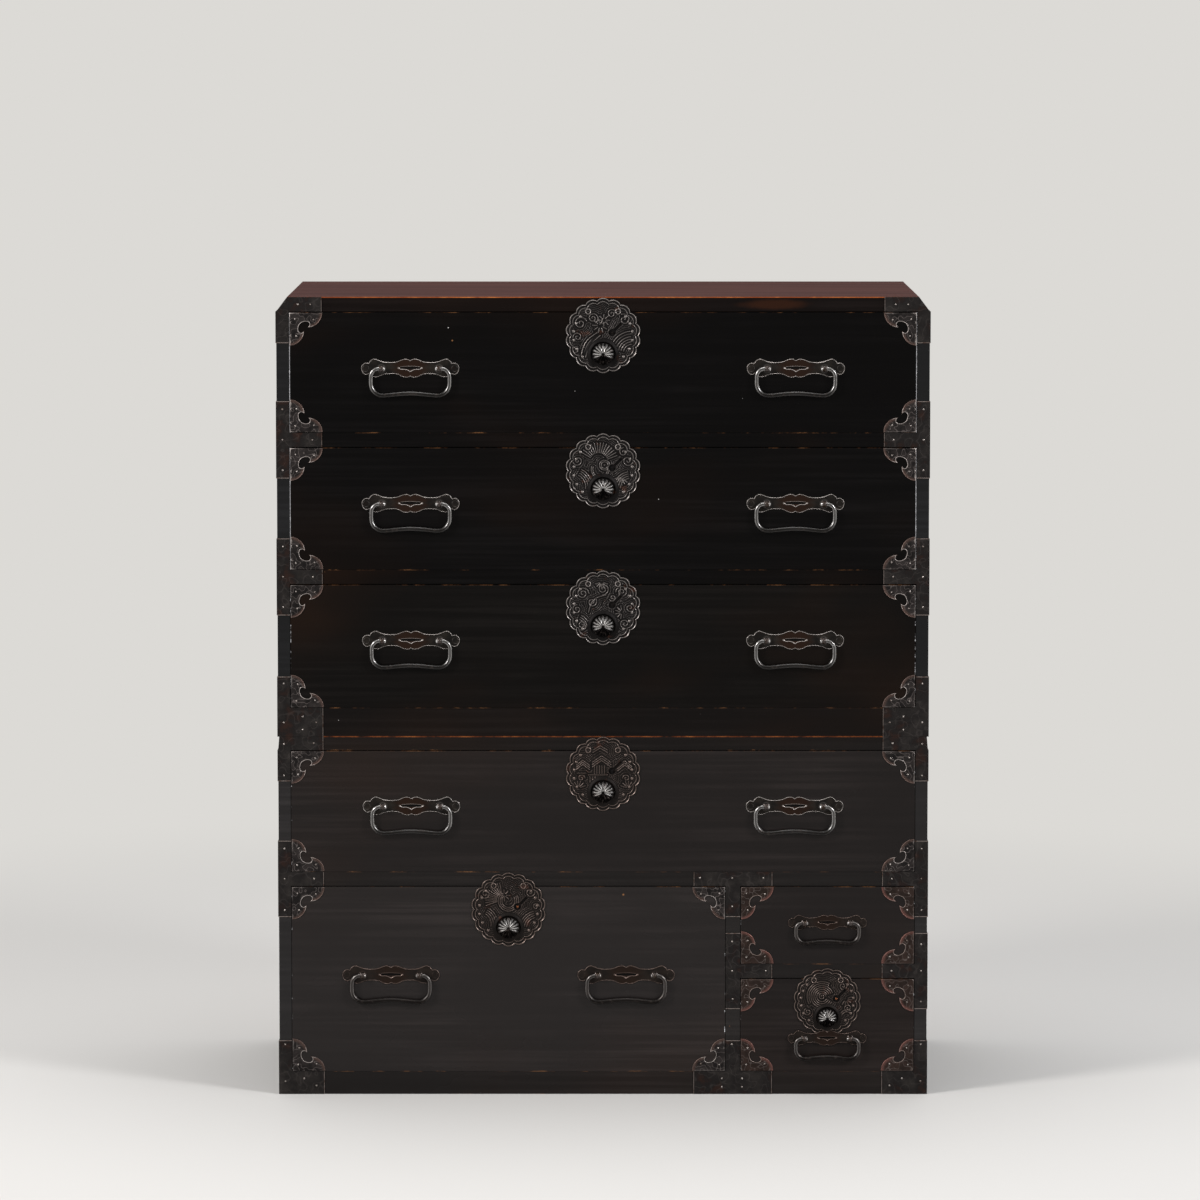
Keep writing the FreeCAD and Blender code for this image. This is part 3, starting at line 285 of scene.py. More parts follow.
finishes = {
    "iron": blackenedIron("blackenedSheetIron", "#151212", "#2b2725", "#2a1913", chased=0.05),
    "plateIron": cornerIron("blackenedCornerIron", "#161313", "#302b2a", "#4b3a34", "#9b938f", 0.3),
    "rustedIron": cornerIron("rustBrownCornerIron", "#241b17", "#352823", "#60403a", "#7c6f69", 0.25),
    # rim: bright iron on the case irons' edges, partly rubbed, partly a painted highlight
    "rim": wornIron("rubbedIronRimHighlight", "#8b817d", "#5a453c", 0.34),
    # the bails' finishes paint a highlight on them, dimmer on drawers 5 to 7
    "bail": rubbedAndHighlightedIron("handRubbedIronPaintedHighlight", "#141211", "#eceae9", 0.2),
    "bailDim": rubbedAndHighlightedIron("dullRubbedIronPaintedHighlight", "#151211", "#a09b99", 0.24),
    # the button's finish paints light from above on its petals
    "button": rubbedAndHighlightedIron("buttonIronPaintedLight", "#0d0b0b", "#d6d3d1", 0.25),
    "rivet": wornIron("rubbedRivetIron", "#9a938f", "#5f544e", 0.33),
    # shadow: near-black iron painted where the keyholes lie in shade
    "shadow": blackenedIron("paintedShadowBlackIron", "#0b0909", "#141010", "#1d120d", 0.2, (0.7, 0.85)),
    "pin": wornIron("brownedKeyPin", "#86553a", "#5c3624", 0.4),
    "chased": chasedIron("chasedSheetIron", "#0c0a0a", "#191616", "#78726f", "#331d14"),
    "handlePlate": chasedIron("chasedHandlePlate", "#131110", "#28231f", "#b3aca8", "#26170f", 0.3),
    "chasedBrown": chasedIron("brownedChasedIron", "#120f0e", "#1e1917", "#685b55", "#35211a"),
    "handlePlateBrown": chasedIron("brownedHandlePlate", "#191513", "#28211d", "#786760", "#231812", 0.3),
    "eye": wornIron("handleEyeIron", "#4c4644", "#33281f", 0.34),
    "drawerWood": bareWood("agedPaulownia", "#a98a62", "#7d6040"),
    "backWood": bareWood("agedCedar", "#7b5a3c", "#543924"),
}
print("finishes made:", len(finishes))

boards = {  # tone, share of bare chips, brown staining, index of refraction, share of pale specks
    "drawer_1_front": ("#060505", 0.05, 0.2, 1.14, 0.06), "drawer_2_front": ("#060505", 0.05, 0.15, 1.145, 0.05),
    "drawer_3_front": ("#0b0908", 0.14, 0.35, 1.15, 0.05), "drawer_4_front": ("#171312", 0.05, 0.3, 1.25, 0.0),
    "drawer_5_front": ("#1d1918", 0.06, 0.25, 1.27, 0.0), "drawer_6_front": ("#1a1615", 0.04, 0.15, 1.22, 0.0),
    "drawer_7_front": ("#181413", 0.04, 0.15, 1.21, 0.0), "upper_base_rail": ("#0e0b0a", 0.14, 0.3, 1.16, 0.03),
    "upper_front_rails": ("#060505", 0.05, 0.4, 1.14, 0.02), "upper_side_boards": ("#131314", 0.04, 0.0, 1.24, 0.0),
    "lower_side_boards": ("#1d1b1b", 0.04, 0.0, 1.27, 0.0), "lower_base_rail": ("#161312", 0.04, 0.2, 1.23, 0.0),
    "lower_front_rails": ("#161312", 0.05, 0.3, 1.23, 0.0), "lower_top_board": ("#110e0d", 0.06, 0.3, 1.2, 0.0),
    "lower_partition": ("#1c1918", 0.03, 0.0, 1.26, 0.0),
}
arris = {  # width in mm and strength of the wear; the seam, where the two cases meet, has its own colours; the ends are a painted highlight on the fronts' side arrises
    "upper": (0.8, 0.38), "lower": (0.6, 0.25), "rail": (0.7, 0.4), "seam": (0.9, 0.7, "#5e2d16", "#a15f30"),
    "endWidth": 1.3, "ends": {"drawer_1_front": 1.3, "drawer_2_front": 1.0, "drawer_3_front": 0.4}, "otherEnds": 0.2,
    "railHeights": {"upper_front_rails": (731.7, 921.2), "lower_front_rails": (182.5, 311.5)},
}
topBoard = {  # arris: place in Y, width, strength, colours; patch: x, z, width, height, colour, strength
    "tone": "#0f0b0a", "faded": ("#35211f", "#4a302c"), "chips": 0.05, "warm": 0.2, "gloss": 1.12,
    "arris": (-214.0, 1.6, 1.0, "#8a4320", "#c4743a"), "patch": (235.0, 1098.0, 60.0, 9.0, "#2f1a10", 0.8),
}
plainFinishes = {  # for nodes whose names start or end like this
    "_box": "drawerWood", "_dust_boards": "backWood", "_back_board": "backWood", "bail_": "bail",
    "_corner_irons": "iron", "_ironwork": "iron", "lock_": "iron",
}


def coat(name, finish):
    nodes[name].data.materials.clear()
    nodes[name].data.materials.append(finish)


for board, look in boards.items():
    low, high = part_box(board)
    y = low.y / mm
    upper, lower = (("Z", corner.z / mm, "Y", y) for corner in (high, low))
    arrises = [(*upper, *arris["seam" if board == "lower_top_board" else "upper"]),
               (*lower, *arris["seam" if board == "upper_base_rail" else "lower"])]
    isFront = board.endswith("_front")
    # the fronts' side arrises get a painted highlight in pale grey, brightest on the top drawers
    if isFront:
        bright = arris["ends"].get(board, arris["otherEnds"])
        arrises += [("X", x / mm, "Y", y, arris["endWidth"], bright, *lacquer["pale"]) for x in (low.x, high.x)]
    if board in arris["railHeights"]:
        arrises = [("Z", z, "Y", y, *arris["rail"]) for z in arris["railHeights"][board]]
    coat(board, lacquerOnWood(f"lacquer_{board}", look[0], arrises, *look[1:], bareBack=isFront))
topArris = ("Z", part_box("upper_top_board")[1].z / mm, "Y", *topBoard["arris"])
coat("upper_top_board", lacquerOnWood("lacquer_top", topBoard["tone"], [topArris], topBoard["chips"], topBoard["warm"],
                                      topBoard["gloss"], patch=topBoard["patch"], topColours=topBoard["faded"]))
for name in nodes:
    plain = [finish for word, finish in plainFinishes.items() if name.startswith(word) or name.endswith(word)]
    if plain:
        coat(name, finishes[plain[0]])
    elif name not in boards and name != "upper_top_board":
        print("no finish for", name)
print("boards finished")


def smoothLine(points, closed=True, steps=5):
    # A curve through the points; a point with a third value of 1 stays a sharp corner.
    count = len(points)
    out = []
    for i in range(count if closed else count - 1):
        p = [points[(i + k) % count] if closed else points[min(max(i + k, 0), count - 1)] for k in (-1, 0, 1, 2)]
        sharp = [len(q) > 2 and q[2] for q in p]
        a, b = np.array(p[1][:2], float), np.array(p[2][:2], float)
        before = a if sharp[1] else np.array(p[0][:2], float)
        after = b if sharp[2] else np.array(p[3][:2], float)
        tangentA, tangentB = (b - before) / 2, (after - a) / 2
        for t in np.arange(steps) / steps:
            out.append((2 * t**3 - 3 * t**2 + 1) * a + (t**3 - 2 * t**2 + t) * tangentA
                       + (-2 * t**3 + 3 * t**2) * b + (t**3 - t**2) * tangentB)
    if not closed:
        out.append(np.array(points[-1][:2], float))
    return np.array(out)


def awayFrom(x, z, line, closed=False):
    # distance from each point to a line of points
    ends = np.roll(line, -1, 0) if closed else line[1:]
    best = np.full(x.shape, 1e9)
    for a, b in zip(line, ends):
        d = b - a
        t = np.clip(((x - a[0]) * d[0] + (z - a[1]) * d[1]) / max(d @ d, 1e-9), 0, 1)
        best = np.minimum(best, (x - a[0] - t * d[0]) ** 2 + (z - a[1] - t * d[1]) ** 2)
    return np.sqrt(best)


def bead(distance, at, width):
    # 1 at this distance, fading to both sides
    return np.exp(-((distance - at) / width) ** 2)


def smoothStep(value, low, high):
    t = np.clip((value - low) / (high - low), 0, 1)
    return t * t * (3 - 2 * t)


def bands(rows, count):
    # four-sided faces between rows of vertices that each close in a ring
    return [[k * count + j, k * count + (j + 1) % count, (k + 1) * count + (j + 1) % count, (k + 1) * count + j]
            for k in range(rows) for j in range(count)]


def cleanCopy(mesh):
    # a CAD node's loose triangles, joined, to take a shape from
    copy = bmesh.new()
    copy.from_mesh(mesh)
    bmesh.ops.remove_doubles(copy, verts=copy.verts, dist=1e-6)
    return copy


def addObject(name, data, body=None, replaced=()):
    # Links an object with this data; one with a body rides on it, and the nodes that it replaces are hidden.
    made = bpy.data.objects.new(name, data)
    scene.collection.objects.link(made)
    if body:
        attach(made, body)
    if replaced:
        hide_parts(*replaced)
    return made


class Piece:
    # Collects vertices in mm and faces with a finish each, then becomes one object.
    def __init__(self, name):
        self.name, self.verts, self.faces, self.finishOf = name, [], [], []
        self.relief, self.rust, self.local, self.finishNames = [], [], [], []

    def add(self, verts, faces, finish, relief=0.0, rust=0.0, local=None):
        start = len(self.verts)
        self.verts += [tuple(v) for v in verts]
        for store, value in ((self.relief, relief), (self.rust, rust)):
            store += [float(v) for v in np.broadcast_to(np.asarray(value, float).reshape(-1), (len(verts),))]
        self.local += [(0.0, 0.0, 0.0)] * len(verts) if local is None else [(a * mm, b * mm, 0.0) for a, b in local]
        self.more(faces, finish, start)
        return start

    def more(self, faces, finish, start):
        # faces on vertices that are there already, counted from start
        if finish not in self.finishNames:
            self.finishNames.append(finish)
        self.faces += [[start + i for i in face] for face in faces]
        self.finishOf += [self.finishNames.index(finish)] * len(faces)

    def finish(self, body, replaced=(), slot="iron"):
        mesh = bpy.data.meshes.new(self.name)
        mesh.from_pydata([[c * mm for c in v] for v in self.verts], [], self.faces)
        for finish in self.finishNames:
            mesh.materials.append(finishes[finish])
        mesh.polygons.foreach_set("material_index", self.finishOf)
        for label, values in (("relief", self.relief), ("rust", self.rust)):
            mesh.attributes.new(label, "FLOAT", "POINT").data.foreach_set("value", values)
        local = mesh.attributes.new("local", "FLOAT_VECTOR", "POINT")
        local.data.foreach_set("vector", [c for v in self.local for c in v])
        shape = bmesh.new()
        shape.from_mesh(mesh)
        bmesh.ops.remove_doubles(shape, verts=shape.verts, dist=2e-6)
        bmesh.ops.recalc_face_normals(shape, faces=shape.faces)
        bmesh.ops.triangulate(shape, faces=[f for f in shape.faces if len(f.verts) > 6])
        shape.to_mesh(mesh)
        shape.free()
        mesh.shade_smooth()
        mesh.set_sharp_from_angle(angle=math.radians(38))
        addObject(self.name, mesh, body, replaced)


def insetLine(line, distance):
    # The closed line moved inwards, with its corners kept.
    before, after = np.roll(line, 1, 0), np.roll(line, -1, 0)
    area = np.sum(line[:, 0] * after[:, 1] - after[:, 0] * line[:, 1])
    sign = 1 if area > 0 else -1
    d1, d2 = line - before, after - line
    d1 /= np.maximum(np.linalg.norm(d1, axis=1), 1e-9)[:, None]
    d2 /= np.maximum(np.linalg.norm(d2, axis=1), 1e-9)[:, None]
    normal = np.stack([-(d1 + d2)[:, 1], (d1 + d2)[:, 0]], 1)
    normal /= np.maximum(np.linalg.norm(normal, axis=1), 1e-9)[:, None]
    side = np.stack([-d1[:, 1], d1[:, 0]], 1)
    lean = np.maximum(np.sum(normal * side, axis=1), 0.55)
    return line + sign * normal * (distance / lean)[:, None]


def inside(points, outline):
    crossed = np.zeros(len(points), bool)
    for a, b in zip(outline, np.roll(outline, -1, 0)):
        if a[1] != b[1]:
            spans = (a[1] > points[:, 1]) != (b[1] > points[:, 1])
            crossed ^= spans & (points[:, 0] < (b[0] - a[0]) * (points[:, 1] - a[1]) / (b[1] - a[1]) + a[0])
    return crossed


def fillOutline(outline, spacing, near, lines=()):
    # Points and triangles inside a closed outline, finer along its edge and along the lines given.
    low, high = outline.min(0), outline.max(0)
    x, z = np.meshgrid(np.arange(low[0], high[0], spacing), np.arange(low[1], high[1], spacing * 0.87))
    x = x + (np.arange(len(x)) % 2)[:, None] * spacing / 2
    field = np.stack([x.ravel(), z.ravel()], 1)
    field = field[awayFrom(field[:, 0], field[:, 1], outline, True) > near[-1] + spacing * 0.4]
    for line in lines:
        field = field[awayFrom(field[:, 0], field[:, 1], line) > 1.1]
    beside = [insetLine(outline, d) for d in near]
    for line in lines:
        across = np.gradient(line, axis=0)[:, ::-1] * (-1, 1)
        across /= np.linalg.norm(across, axis=1)[:, None]
        beside += [line + across * d for d in (-0.75, -0.35, 0, 0.35, 0.75)]
    extra = np.concatenate(beside)
    extra = extra[awayFrom(extra[:, 0], extra[:, 1], outline, True) > near[0] * 0.8]
    points = np.concatenate([field, extra])
    points = np.concatenate([outline, points[inside(points, outline)]])
    count = len(outline)
    made = delaunay_2d_cdt([tuple(p) for p in points], [(i, (i + 1) % count) for i in range(count)], [], 0, 1e-4)
    verts, faces = np.array([tuple(v) for v in made[0]]), made[2]
    middles = np.array([verts[list(f)].mean(0) for f in faces])
    return verts, [list(f) for f, inner in zip(faces, inside(middles, outline)) if inner]


def chasedSheet(piece, outline, filled, shape, place, back, front, finish):
    # A chased sheet: shape gives height, relief and rust from x, z and the distance in from the edge.
    verts, faces = filled
    inward = awayFrom(verts[:, 0], verts[:, 1], outline, True)
    height, relief, rust = shape(verts[:, 0], verts[:, 1], inward)
    height = np.where(inward < 0.02, 0.0, height)
    centre, scale = np.array(place[:2]), np.array(place[2:])
    spots = centre + verts * scale
    piece.add([(x, front - h, z) for (x, z), h in zip(spots, height)], faces, finish, relief, rust, verts)
    ring, count = centre + outline * scale, len(outline)
    faces = bands(1, count) + [[*range(count, 2 * count)]]
    piece.add([(x, y, z) for y in (front, back + 0.15) for x, z in ring], faces, finish, 0.5, 0.0,
              np.concatenate([outline, outline]))


def turned(piece, centre, axis, profile, finish, sides, rubbed=1.0):
    # A turned form: the profile is (radius, distance along the axis) and closes on the axis at both ends.
    axis = np.array(axis, float)
    side = np.cross(axis, [0, 0, 1])
    other = np.cross(axis, side)
    verts = [np.array(centre) + axis * along + radius * (math.cos(a) * side + math.sin(a) * other)
             for radius, along in profile for a in np.arange(sides) * 2 * math.pi / sides]
    ends = [[*range(sides)], [*range((len(profile) - 1) * sides, len(profile) * sides)]]
    piece.add(verts, bands(len(profile) - 1, sides) + ends, finish, rubbed)


def startTree(name, *wanted):
    # A geometry tree with a geometry in and out, and an input for each (name, kind, value) wanted.
    tree = bpy.data.node_groups.new(name, "GeometryNodeTree")
    tree.interface.new_socket("Geometry", in_out="OUTPUT", socket_type="NodeSocketGeometry")
    for label, kind, value in (("Geometry", "Geometry", None), *wanted, ("Finish", "Material", None)):
        socket = tree.interface.new_socket(label, in_out="INPUT", socket_type="NodeSocket" + kind)
        if value is not None:
            socket.default_value = value
    return tree, addNode(tree, "NodeGroupInput").node.outputs


def endTree(tree, shape, given):
    coated = addNode(tree, "GeometryNodeSetMaterial", {"Geometry": shape, "Material": given["Finish"]})
    addNode(tree, "NodeGroupOutput", [coated])
    return tree


def barTree():
    # A round bar along each line of points. "relief" is 1 where it is painted bright: the rubbed share given, times a
    # painted highlight that is stronger on the flanks than in front.
    tree, given = startTree("barAlongLine", ("Sides", "Int", 16), ("Front", "Float", 1.0))
    ring = addNode(tree, "GeometryNodeCurvePrimitiveCircle", {"Resolution": given["Sides"], "Radius": 1.0})
    line = addNode(tree, "GeometryNodeMeshToCurve", {"Mesh": given["Geometry"]})
    thick = addNode(tree, "GeometryNodeInputNamedAttribute", {"Name": "thick"}, data_type="FLOAT")
    tube = {"Curve": line, "Profile Curve": ring, "Scale": thick, "Fill Caps": True}
    tube = addNode(tree, "GeometryNodeCurveToMesh", tube)
    ahead = addNode(tree, "SeparateXYZ", [addNode(tree, "GeometryNodeInputNormal")], 1)
    flank = addNode(tree, "Math", [ahead, ahead], operation="MULTIPLY")
    shade = addNode(tree, "MapRange", [flank, 0.0, 1.0, 1.0, given["Front"]])
    rubbed = addNode(tree, "GeometryNodeInputNamedAttribute", {"Name": "rubbed"}, data_type="FLOAT")
    relief = addNode(tree, "Math", [rubbed, shade], operation="MULTIPLY")
    stored = addNode(tree, "GeometryNodeStoreNamedAttribute", {"Geometry": tube, "Name": "relief", "Value": relief},
                     data_type="FLOAT", domain="POINT")
    return endTree(tree, addNode(tree, "GeometryNodeRealizeInstances", [stored]), given)


def rivetTree():
    # A low dome on each point, each a little larger or smaller than the next.
    tree, given = startTree("rivetsOnPoints", ("Radius", "Float", 1.5 * mm), ("Height", "Float", 1.0 * mm))
    dome = addNode(tree, "GeometryNodeMeshUVSphere", {"Segments": 10, "Rings": 8, "Radius": 1.0})
    size = addNode(tree, "CombineXYZ", [given["Radius"], given["Height"], given["Radius"]])
    shaped = addNode(tree, "GeometryNodeTransform", {"Geometry": dome, "Scale": size})
    spread = addNode(tree, "FunctionNodeRandomValue", {2: 0.85, 3: 1.15, "Seed": 4}, 1, data_type="FLOAT")
    placed = {"Points": given["Geometry"], "Instance": shaped, "Scale": spread}
    placed = addNode(tree, "GeometryNodeInstanceOnPoints", placed)
    smooth = addNode(tree, "GeometryNodeRealizeInstances", [placed])
    smooth = addNode(tree, "GeometryNodeSetShadeSmooth", [smooth])
    return endTree(tree, smooth, given)


barMaker, rivetMaker = barTree(), rivetTree()


def grown(tree, name, verts, edges, finish, attributes=None, **sizes):
    # Runs the tree on points and lines in mm and gives back the plain mesh.
    mesh = bpy.data.meshes.new(name)
    mesh.from_pydata([[c * mm for c in v] for v in verts], edges, [])
    for label, values in (attributes or {}).items():
        mesh.attributes.new(label, "FLOAT", "POINT").data.foreach_set("value", np.asarray(values, float))
    made = addObject(name, mesh)
    modifier = made.modifiers.new(name, "NODES")
    modifier.node_group = tree
    sockets = {item.name: item.identifier for item in tree.interface.items_tree if item.in_out == "INPUT"}
    for label, value in {**sizes, "Finish": finishes[finish]}.items():
        modifier[sockets[label]] = value
    solid = bpy.data.meshes.new_from_object(made.evaluated_get(bpy.context.evaluated_depsgraph_get()))
    bpy.data.objects.remove(made)
    solid.name = name
    return solid


def bars(piece, paths, radii, finish, sides, rubbed=1.0, front=1.0):
    # Round bars, each along points in x, y, z. rubbed says how bright each point is painted, and front how much of the
    # painted highlight is left in front.
    verts = [v for path in paths for v in path]
    starts = np.cumsum([0] + [len(path) for path in paths])
    edges = [(i, i + 1) for low, high in zip(starts, starts[1:]) for i in range(low, high - 1)]
    spread = {label: np.broadcast_to(np.asarray(value, float), (len(verts),))
              for label, value in (("thick", np.asarray(radii, float) * mm), ("rubbed", rubbed))}
    solid = grown(barMaker, "bar", verts, edges, finish, spread, Sides=sides, Front=front)
    places, relief = np.empty(len(solid.vertices) * 3), np.empty(len(solid.vertices))
    solid.vertices.foreach_get("co", places)
    solid.attributes["relief"].data.foreach_get("value", relief)
    piece.add(places.reshape(-1, 3) / mm, [list(face.vertices) for face in solid.polygons], finish, relief)


def rivets(name, body, spots, radius, height):
    # spots are (x, y, z) in mm on the iron's face; half of each dome stands out of it
    addObject(name, grown(rivetMaker, name, spots, [], "rivet", Radius=radius * mm, Height=height * mm), body)


frontY = -214.4  # the drawers' front faces
cornerPlate = {
    "size": 45.0, "margin": 0.6, "thickness": 1.0, "lobe": (25.0, 20.0),  # along the board, and its radius
    "bite": (21, 13.5, 11.0),  # its middle, and where its bright rim starts and is full
    "hook": [(24.7, 20.0, 1), (26.6, 18.6), (27.6, 16.2), (27.0, 13.9), (25.0, 12.4), (22.0, 12.0), (18.2, 12.9)],
    "deepest": (14.9, 14.9), "rivets": [(7.4, 8.6), (33.0, 9.6), (9.2, 32.0)], "rivet": (1.3, 0.9),  # radius, height
    "litSide": (0.9, 0.2),  # how bright the painted highlight along the side edge is, on the two top drawers and on the others
}


def cornerOutline():
    middle, radius = cornerPlate["lobe"]
    lobe = [(middle + radius * math.cos(a), radius * math.sin(a)) for a in np.radians(range(9, 88, 9))]
    half = [(cornerPlate["size"], 0.0, 1)] + lobe + cornerPlate["hook"]
    mirrored = [(p[1], p[0], *p[2:]) for p in reversed(half)]
    return smoothLine([(0, 0, 1)] + half + [cornerPlate["deepest"]] + mirrored, True, 3)


def cornerShape(x, z, inward, lit):
    # a raised rim, brightest round the bite, a chased line that follows it, and a painted highlight along the side edge
    at, outer, inner = cornerPlate["bite"]
    bite = smoothStep(np.hypot(x - at, z - at), outer, inner)
    rim = bead(inward, 0.6, 0.42)
    line = 0.35 * bead(inward, 2.6, 0.45) * smoothStep(np.minimum(x, z), 3, 5)
    # lit paints a highlight along the plate's side edge
    relief = np.clip(rim * (0.45 + 0.55 * bite) + line + lit * bead(x, 0.6, 0.5), 0, 1)
    return 0.1 + 0.35 * rim + 0.3 * line, relief, 0.0 * x


def cornersOf(front):
    # x, z and the two directions of a plate at each corner of this board
    low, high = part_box(front)
    gap = cornerPlate["margin"]
    return [((low.x if sx > 0 else high.x) / mm + sx * gap, (low.z if sz > 0 else high.z) / mm + sz * gap, sx, sz)
            for sz in (1, -1) for sx in (1, -1)]


handle = {
    "thickness": 1.2, "eye": 39.5, "eyeLength": 5.0, "pivotOut": 4.8, "reach": 54.0, "corner": 17.0, "gap": 1.2,
    "bow": 3.0,  # how much lower the bar hangs at its corners than in its middle
    "usual": (1.0, 37.0), "small": (0.81, 28.0),  # size against the usual one, and the bail's depth below its pivot
    "bar": (2.3, 2.75, 0.4),  # radius on the pin, radius of the bar, and what it gains on its way down
    "endBall": 61.2, "slit": (13.5, 46),  # half the slit's length, and its points
    "eyeKnob": [(2.6, 0), (4.3, 0.15), (4.8, 0.9), (4.8, 4.1), (4.3, 4.85), (2.6, 5.0)],
    "eyeFoot": [(4.6, 0), (4.4, 0.9), (3.4, 1.6), (2.4, 2.4)],
    "bailKnob": [(0.8, 0.1), (2.7, 0.5), (3.0, 1.4), (2.3, 2.4), (0.8, 2.8)],
    "upper": [(67.6, 1.0), (66.4, 4.8), (62.8, 7.9), (59.2, 8.2), (57.2, 7.6, 1), (55.6, 10.4), (51.8, 13.2),
              (48.2, 13.6), (43.0, 11.8), (37.5, 9.8), (31.0, 9.0), (24.0, 9.1), (18.0, 10.0), (12.0, 12.4),
              (7.0, 13.7), (3.2, 13.2), (0.0, 11.4, 1)],
    "lower": [(0.0, -10.9, 1), (3.0, -12.3), (7.0, -12.4), (11.5, -11.2), (16.0, -8.9), (22.0, -7.6), (31.0, -7.7),
              (37.0, -8.8), (43.0, -11.2), (48.5, -12.0), (53.4, -10.4), (56.4, -7.2, 1), (59.4, -8.6), (63.4, -7.8),
              (66.6, -4.0)],
    "lip": [(-15, 0.4), (-12.6, -1.0), (-7.5, -1.0), (-3.2, -2.3), (0, -4.4, 1), (3.2, -2.3), (7.5, -1.0),
            (12.6, -1.0), (15, 0.4)],
}
handleLip = smoothLine(handle["lip"], False, 3)
slitHalf, slitPoints = handle["slit"]
slitX = np.linspace(-slitHalf, slitHalf, slitPoints)
handleSlit = np.stack([slitX, np.full(slitPoints, 1.0)], 1)
handleBrow = np.stack([slitX, 2.5 + 0.9 * np.cos(slitX * math.pi / (2 * slitHalf))], 1)


def handleOutline():
    right = handle["lower"] + handle["upper"]
    return smoothLine(right + [(-p[0], *p[1:]) for p in reversed(right[1:-1])], True, 4)


def handleShape(x, z, inward):
    # bright rim, round ends, a swelling under each eye with a painted sheen, and a lipped slit painted black as shade
    # in a browned middle
    rim = bead(inward, 0.7, 0.42)
    swelling = bead(np.hypot(np.abs(x) - handle["eye"], z), 0, 9)
    ring = 0.55 * bead(np.hypot(np.abs(x) - handle["endBall"], z - 0.2), 4.2, 0.6)
    lips = np.maximum(bead(awayFrom(x, z, handleLip), 0.0, 0.55), 0.7 * bead(awayFrom(x, z, handleBrow), 0.0, 0.45))
    dots = bead(np.hypot(np.abs(x) - 16.0, z - 0.8), 0.0, 1.5)
    slit = smoothStep(np.abs(z - 1.0), 1.3, 0.8) * smoothStep(np.abs(x), 14.0, 13.0)
    raised = np.maximum.reduce([rim, lips, dots, ring])
    height = 0.7 * raised + 0.8 * swelling * smoothStep(inward, 0, 2.5) - 0.6 * slit
    # the swelling's share is a painted sheen, and the slit's share below 0 is its painted shade
    relief = np.clip(raised + 0.6 * swelling, 0, 1) - 1.2 * slit
    return height, relief, smoothStep(np.abs(x) + 2.2 * np.sin(z * 0.9), 30, 12)


def bailPath(share, depth):
    # x and z from the pin's inner end round to the other, below the pivot
    reach, corner = handle["reach"] * share, handle["corner"] * share
    eye, half = handle["eye"] * share, handle["eyeLength"] / 2
    start = eye + half + handle["gap"]
    shoulder = reach - start
    points = [(eye - half - 2.4, 0), (start - 1.0, 0)]
    points += [(start + shoulder * math.sin(a), -shoulder * (1 - math.cos(a))) for a in np.radians(range(0, 91, 10))]
    points += [(reach, -depth + corner + 0.1)]
    points += [(reach - corner * (1 - math.cos(a)), -depth + corner - corner * math.sin(a))
               for a in np.radians(range(0, 86, 8))]
    grip = points[-1][0]
    points += [(grip * (1 - t), -depth + handle["bow"] * share * math.sin(t * math.pi / 2) ** 1.6)
               for t in np.linspace(0.12, 1.0, 10)]
    return points + [(-x, z) for x, z in reversed(points[:-1])]


lock = {  # sizes are the plate's radius, the button's drop below its middle, and the button's radius
    "usual": (52.0, 25.5, 14.8), "small": (47.0, 22.5, 13.0), "lobes": 18, "lobeRadius": 11.0, "thickness": 1.6,
    "petals": 16, "keyhole": (12.5, 4.0, 4.4), "slot": (3.0, 17.5), "around": 396, "across": 94,
    "pin": [(1.5, 0), (1.5, 1.2), (0.9, 1.7)], "rings": (20.5, 33),  # x and z of the two raised rings
    "nailCircle": 40.5, "nail": (1.9, 1.15),  # a nail head's radius and height
    "nails": (8, -9, 24, 40, 140, 156, 172, 189, 207, 226, 314, 333),  # degrees round the plate
}


def scroll(cx, cz, radius, turns, start, hand=1):
    # a spiral that winds in from its rim; a hand of -1 winds it the other way
    t = np.linspace(0, 1, int(22 * turns) + 6)
    angle = math.radians(start) + hand * t * turns * 2 * math.pi
    r = radius * (1 - 0.86 * t)
    return [np.stack([cx + r * np.cos(angle), cz + r * np.sin(angle)], 1)]


def arcs(cx, cz, radii, first, last):
    angle = np.radians(np.linspace(first, last, 26))
    return [np.stack([cx + r * np.cos(angle), cz + r * np.sin(angle)], 1) for r in radii]


def rays(cx, cz, inner, outer, first, last, count):
    return [np.array([[cx + r * math.cos(a), cz + r * math.sin(a)] for r in (inner, outer)])
            for a in np.radians(np.linspace(first, last, count))]


def chevrons(cx, cz, width, rise, count, step):
    return [np.array([[cx - width, cz - k * step], [cx, cz + rise - k * step], [cx + width, cz - k * step]])
            for k in range(count)]


def sprig(x0, z0, x1, z1, bend):
    t = np.linspace(0, 1, 12)
    nx, nz = -(z1 - z0), x1 - x0
    return [np.stack([x0 + (x1 - x0) * t + nx * bend * np.sin(t * math.pi),
                      z0 + (z1 - z0) * t + nz * bend * np.sin(t * math.pi)], 1)]


def stroke(x0, z0, x1, z1):
    return [np.array([[x0, z0], [x1, z1]])]


